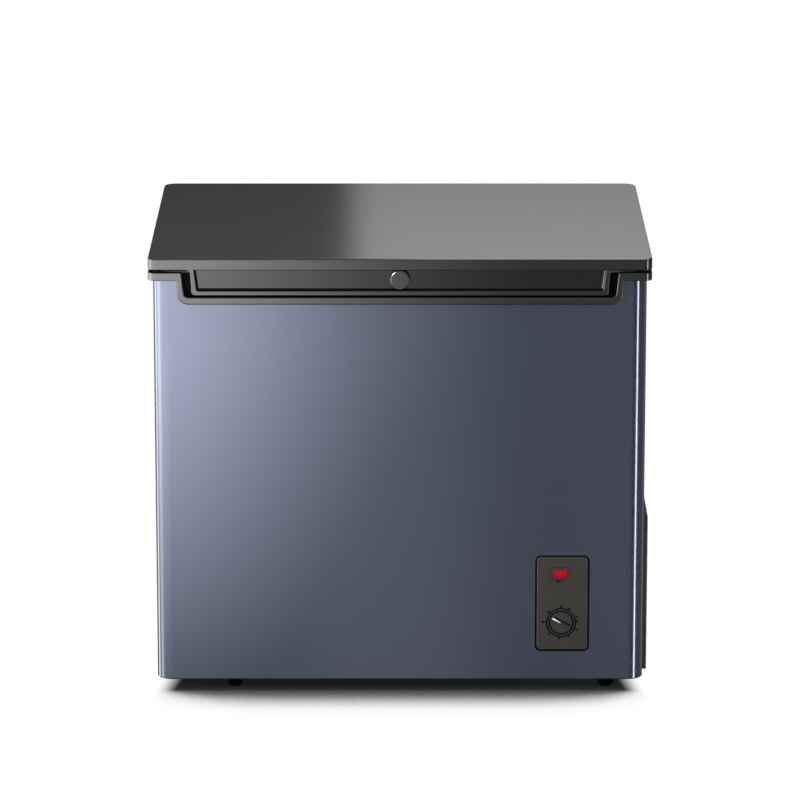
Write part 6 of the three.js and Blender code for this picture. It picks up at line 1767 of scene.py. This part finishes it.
for side in ("left", "right"):
    for number in (1, 2):
        low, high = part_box(f"hinge_base_screw_{side}_{number}")
        middle = (low + high) / 2
        hole = disc(
            "hole", middle, SCREW_HOLE, panel_low.y - PAST, panel_face + PAST, HOLE_SIDES
        )
        carve(rear_sheet, hole)
smooth(rear_sheet)

# Zinc-coated steel: pale grey with a faint cloudy crystal pattern and a soft sheen.
zinc = surface(
    "zinc_coated_steel", "#bfc2c5", "#b2b6b9", 9.0, (0.34, 0.44), 0.01, (("Metallic", 0.9),)
)
finish_piece(rear_sheet, zinc, "cabinet", "zinc_steel", "rear_panel")
dress(zinc, "base_pan", "compartment_shield", "thermostat_body", "thermostat_spindle")

# --- Rear cover ------------------------------------------------------------------------
# A thinner pressed sheet over the compressor's bay, slotted for the warm air, screwed on
# at its corners, with a rubber gland where the mains lead enters.

VENT_CORNER = 0.004
VENT_EDGE = 0.0004
VENT_COLUMNS = 2
VENT_ROWS = 9
VENT_PITCH = 0.015
VENT_OPEN = 0.005
VENT_BRIDGE = 0.016
VENT_SCREW_INSET = 0.0062
GLAND_HOLE = 0.0083
LEAD_BORE = 0.004
BORE_SIDES = 32
GLAND_RINGS = (  # radius, and distance from its inner end
    (0.007, 0), (0.008, 0.002), (0.008, 0.0053), (0.0106, 0.0053), (0.011, 0.0057),
    (0.011, 0.0063), (0.0104, 0.0071), (0.0075, 0.0077), (0.0055, 0.0083),
)

vent = block("slotted_rear_cover", vent_low, vent_high)
round_edges(vent, VENT_CORNER, 6, front_to_back)
round_edges(vent, VENT_EDGE, 2, lambda a, b: min(a.y, b.y) > vent_high.y - HAIR)
vent_width = (vent_high.x - vent_low.x - (VENT_COLUMNS + 1) * VENT_BRIDGE) / VENT_COLUMNS
slot = block(
    "slot",
    (0, vent_low.y - PAST, -VENT_OPEN / 2), (vent_width, vent_high.y + PAST, VENT_OPEN / 2),
)
round_edges(slot, VENT_OPEN / 2 - HAIR, 5, front_to_back)
vent_places = [
    (
        vent_low.x + VENT_BRIDGE + column * (vent_width + VENT_BRIDGE), 0,
        vent_high.z - VENT_BRIDGE - row * VENT_PITCH,
    )
    for column in range(VENT_COLUMNS) for row in range(VENT_ROWS)
]
carve(vent, join("slots", copies(slot, vent_places)))
carve(vent, disc("bore", gland_middle, GLAND_HOLE, vent_low.y - PAST, vent_high.y + PAST))
smooth(vent)
finish_piece(vent, zinc, "cabinet", "zinc_steel", "rear_vent_cover")

gland = turned(
    "mains_lead_gland", GLAND_RINGS, (gland_middle.x, gland_low.y, gland_middle.z), BACKWARDS
)
lead_bore = disc(
    "lead_bore", gland_middle, LEAD_BORE, gland_low.y - PAST, gland_high.y + PAST, BORE_SIDES
)
carve(gland, lead_bore)
smooth(gland)

# Moulded rubber: black, dull, slightly dusty.
black_rubber = surface("black_rubber", "#232323", "#191919", 3.0, (0.65, 0.8), 0.05)
finish_piece(gland, black_rubber, "cabinet", "black_rubber", "cord_gland")
dress(black_rubber, *(f"compressor_grommet_{number}" for number in (1, 2, 3, 4)))

# --- Feet --------------------------------------------------------------------------------
# Four feet moulded in nitrile rubber, each a cone that widens upwards to a rim, with a
# stud on top that presses into the base.

FOOT_RINGS = (  # radius, and height above the floor
    (0.0064, 0), (0.0074, 0.0003), (0.008, 0.0012), (0.0116, 0.0104), (0.012, 0.0116),
    (0.012, 0.0131), (0.0114, 0.0137), (0.003, 0.0137), (0.003, 0.0192), (0.0022, 0.02),
)
FOOT_SIDES = 40

# Nitrile rubber is black; the feet are darkened further and made dead matt as painted shade, so
# they vanish in the cabinet's shadow.
foot_rubber_and_shade = surface(
    "nitrile_rubber_and_shade", "#020202", "#010101", 1.0, (0.85, 0.95), 0.02,
    (("Specular IOR Level", 0.03),),
)
for place in ("front_left", "front_right", "rear_left", "rear_right"):
    low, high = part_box(f"foot_{place}")
    middle = (low + high) / 2
    rubber_foot = turned(
        f"rubber_foot_{place}", FOOT_RINGS, (middle.x, middle.y, low.z), 0, FOOT_SIDES
    )
    smooth(rubber_foot)
    finish_piece(rubber_foot, foot_rubber_and_shade, "cabinet", "black_rubber", f"foot_{place}")

# --- Screws --------------------------------------------------------------------------------
# Pan-head screws, zinc-plated, with a cross recess: four hold each hinge, and four smaller
# ones hold the rear cover.

RECESS_LENGTH = 0.0034
RECESS_WIDTH = 0.0008
RECESS_DEPTH = 0.0009
SCREW_LENGTH = 0.010
SCREW_HEAD = 0.0018
SCREW_SIDES = 32
SHANK_RINGS = ((0.0010, 0), (0.0020, 0.0014), (0.0020, SCREW_LENGTH))  # radius, from the tip
HEAD_RINGS = (
    (0.0038, 0), (0.0038, 0.0005), (0.0034, 0.0011), (0.0025, 0.0016), (0.0012, SCREW_HEAD),
)
VENT_SCREW_SCALE = 0.62

# Zinc plating: brighter and smoother than the coated sheet.
zinc_plating = surface(
    "zinc_plated_steel", "#cfd2d4", "#c3c6c9", 6.0, (0.24, 0.30), 0.004, (("Metallic", 1.0),)
)


def screw(name, middle, face, scale=1.0):
    """A pan-head screw along Y, its head's underside on a face that looks backwards."""
    rings = (*SHANK_RINGS, *((radius, SCREW_LENGTH + rise) for radius, rise in HEAD_RINGS))
    piece = turned(
        name, [(radius * scale, reached * scale) for radius, reached in rings],
        (middle.x, face - SCREW_LENGTH * scale, middle.z), BACKWARDS, SCREW_SIDES,
    )
    top = face + SCREW_HEAD * scale
    for wide, tall in ((RECESS_LENGTH, RECESS_WIDTH), (RECESS_WIDTH, RECESS_LENGTH)):
        half = Vector((wide / 2, 0, tall / 2)) * scale
        low = Vector((middle.x, top - RECESS_DEPTH * scale, middle.z)) - half
        high = Vector((middle.x, top + PAST, middle.z)) + half
        carve(piece, block("recess", low, high))
    return smooth(piece)


for part, body in (("base", "cabinet"), ("leaf", "lid")):
    for side in ("left", "right"):
        for number in (1, 2):
            node = f"hinge_{part}_screw_{side}_{number}"
            low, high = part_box(node)
            name = f"pan_head_{part}_{side}_{number}"
            hinge_screw = screw(name, (low + high) / 2, high.y - SCREW_HEAD)
            finish_piece(hinge_screw, zinc_plating, body, "zinc_steel", node)
vent_screws = [
    screw("vent_screw", Vector((x, 0, z)), vent_high.y, VENT_SCREW_SCALE)
    for x in (vent_low.x + VENT_SCREW_INSET, vent_high.x - VENT_SCREW_INSET)
    for z in (vent_low.z + VENT_SCREW_INSET, vent_high.z - VENT_SCREW_INSET)
]
finish_piece(join("rear_cover_screws", vent_screws), zinc_plating, "cabinet", "zinc_steel")

# --- Hinges --------------------------------------------------------------------------------
# Pressed steel hinges, zinc-plated: a base plate on the rear panel, a leaf on the lid's
# edge, a headed pin through their ears, and a coil spring round the pin.

SPRING_RADIUS = 0.004
SPRING_WIRE = 0.0007
SPRING_TURNS = 9
SPRING_STEPS = 14  # points in a turn
SPRING_SIDES = 6
SPRING_START = math.radians(135)  # place of the first point, from the back over the top
SPRING_LEG = 0.006  # reach of its lower leg below the pin

for side in ("left", "right"):
    dress(zinc_plating, f"hinge_base_{side}", f"hinge_leaf_{side}", f"hinge_pin_{side}")
    low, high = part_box(f"hinge_spring_{side}")
    pin_low, pin_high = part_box(f"hinge_pin_{side}")
    pin_middle = (pin_low + pin_high) / 2
    count = SPRING_TURNS * SPRING_STEPS
    coil_from, coil_to = low.x + SPRING_WIRE, high.x - SPRING_WIRE
    route = [Vector((coil_from, low.y + SPRING_WIRE, pin_middle.z - SPRING_LEG))]
    for i in range(count):
        angle = SPRING_START - 2 * math.pi * i / SPRING_STEPS
        route.append(Vector((
            coil_from + (coil_to - coil_from) * i / (count - 1),
            pin_middle.y + SPRING_RADIUS * math.cos(angle),
            pin_middle.z + SPRING_RADIUS * math.sin(angle),
        )))
    route.append(Vector((coil_to, high.y - 2 * SPRING_WIRE, high.z - SPRING_WIRE)))
    spring = smooth(wire(f"coil_spring_{side}", route, SPRING_WIRE, False, SPRING_SIDES))
    finish_piece(spring, zinc_plating, "cabinet", "zinc_steel", f"hinge_spring_{side}")

# --- Cooling circuit -----------------------------------------------------------------------
# A black painted compressor on rubber mounts over a steel tray, joined by copper tubes to
# the condenser inside the skin and the steel evaporator round the tank.

# Stoved paint on pressed steel: black, half gloss, slightly uneven.
painted_steel = surface("black_painted_steel", "#1c1d1e", "#131415", 5.0, (0.34, 0.46), 0.05)
dress(painted_steel, "compressor", "compressor_tray")

# Drawn copper: warm, with darker tarnish where it was brazed and handled.
copper = surface(
    "drawn_copper", "#c27e58", "#9a5c3f", 14.0, (0.28, 0.42), 0.01, (("Metallic", 1.0),)
)
dress(copper, "condenser_coil", "discharge_tube", "suction_tube", "capillary_tube", "filter_drier")

# Bundy steel tube: grey with a dull coppery cast.
steel_tube = surface(
    "bundy_steel_tube", "#9a9792", "#83807c", 8.0, (0.35, 0.5), 0.01, (("Metallic", 1.0),)
)
dress(steel_tube, "evaporator_coil")
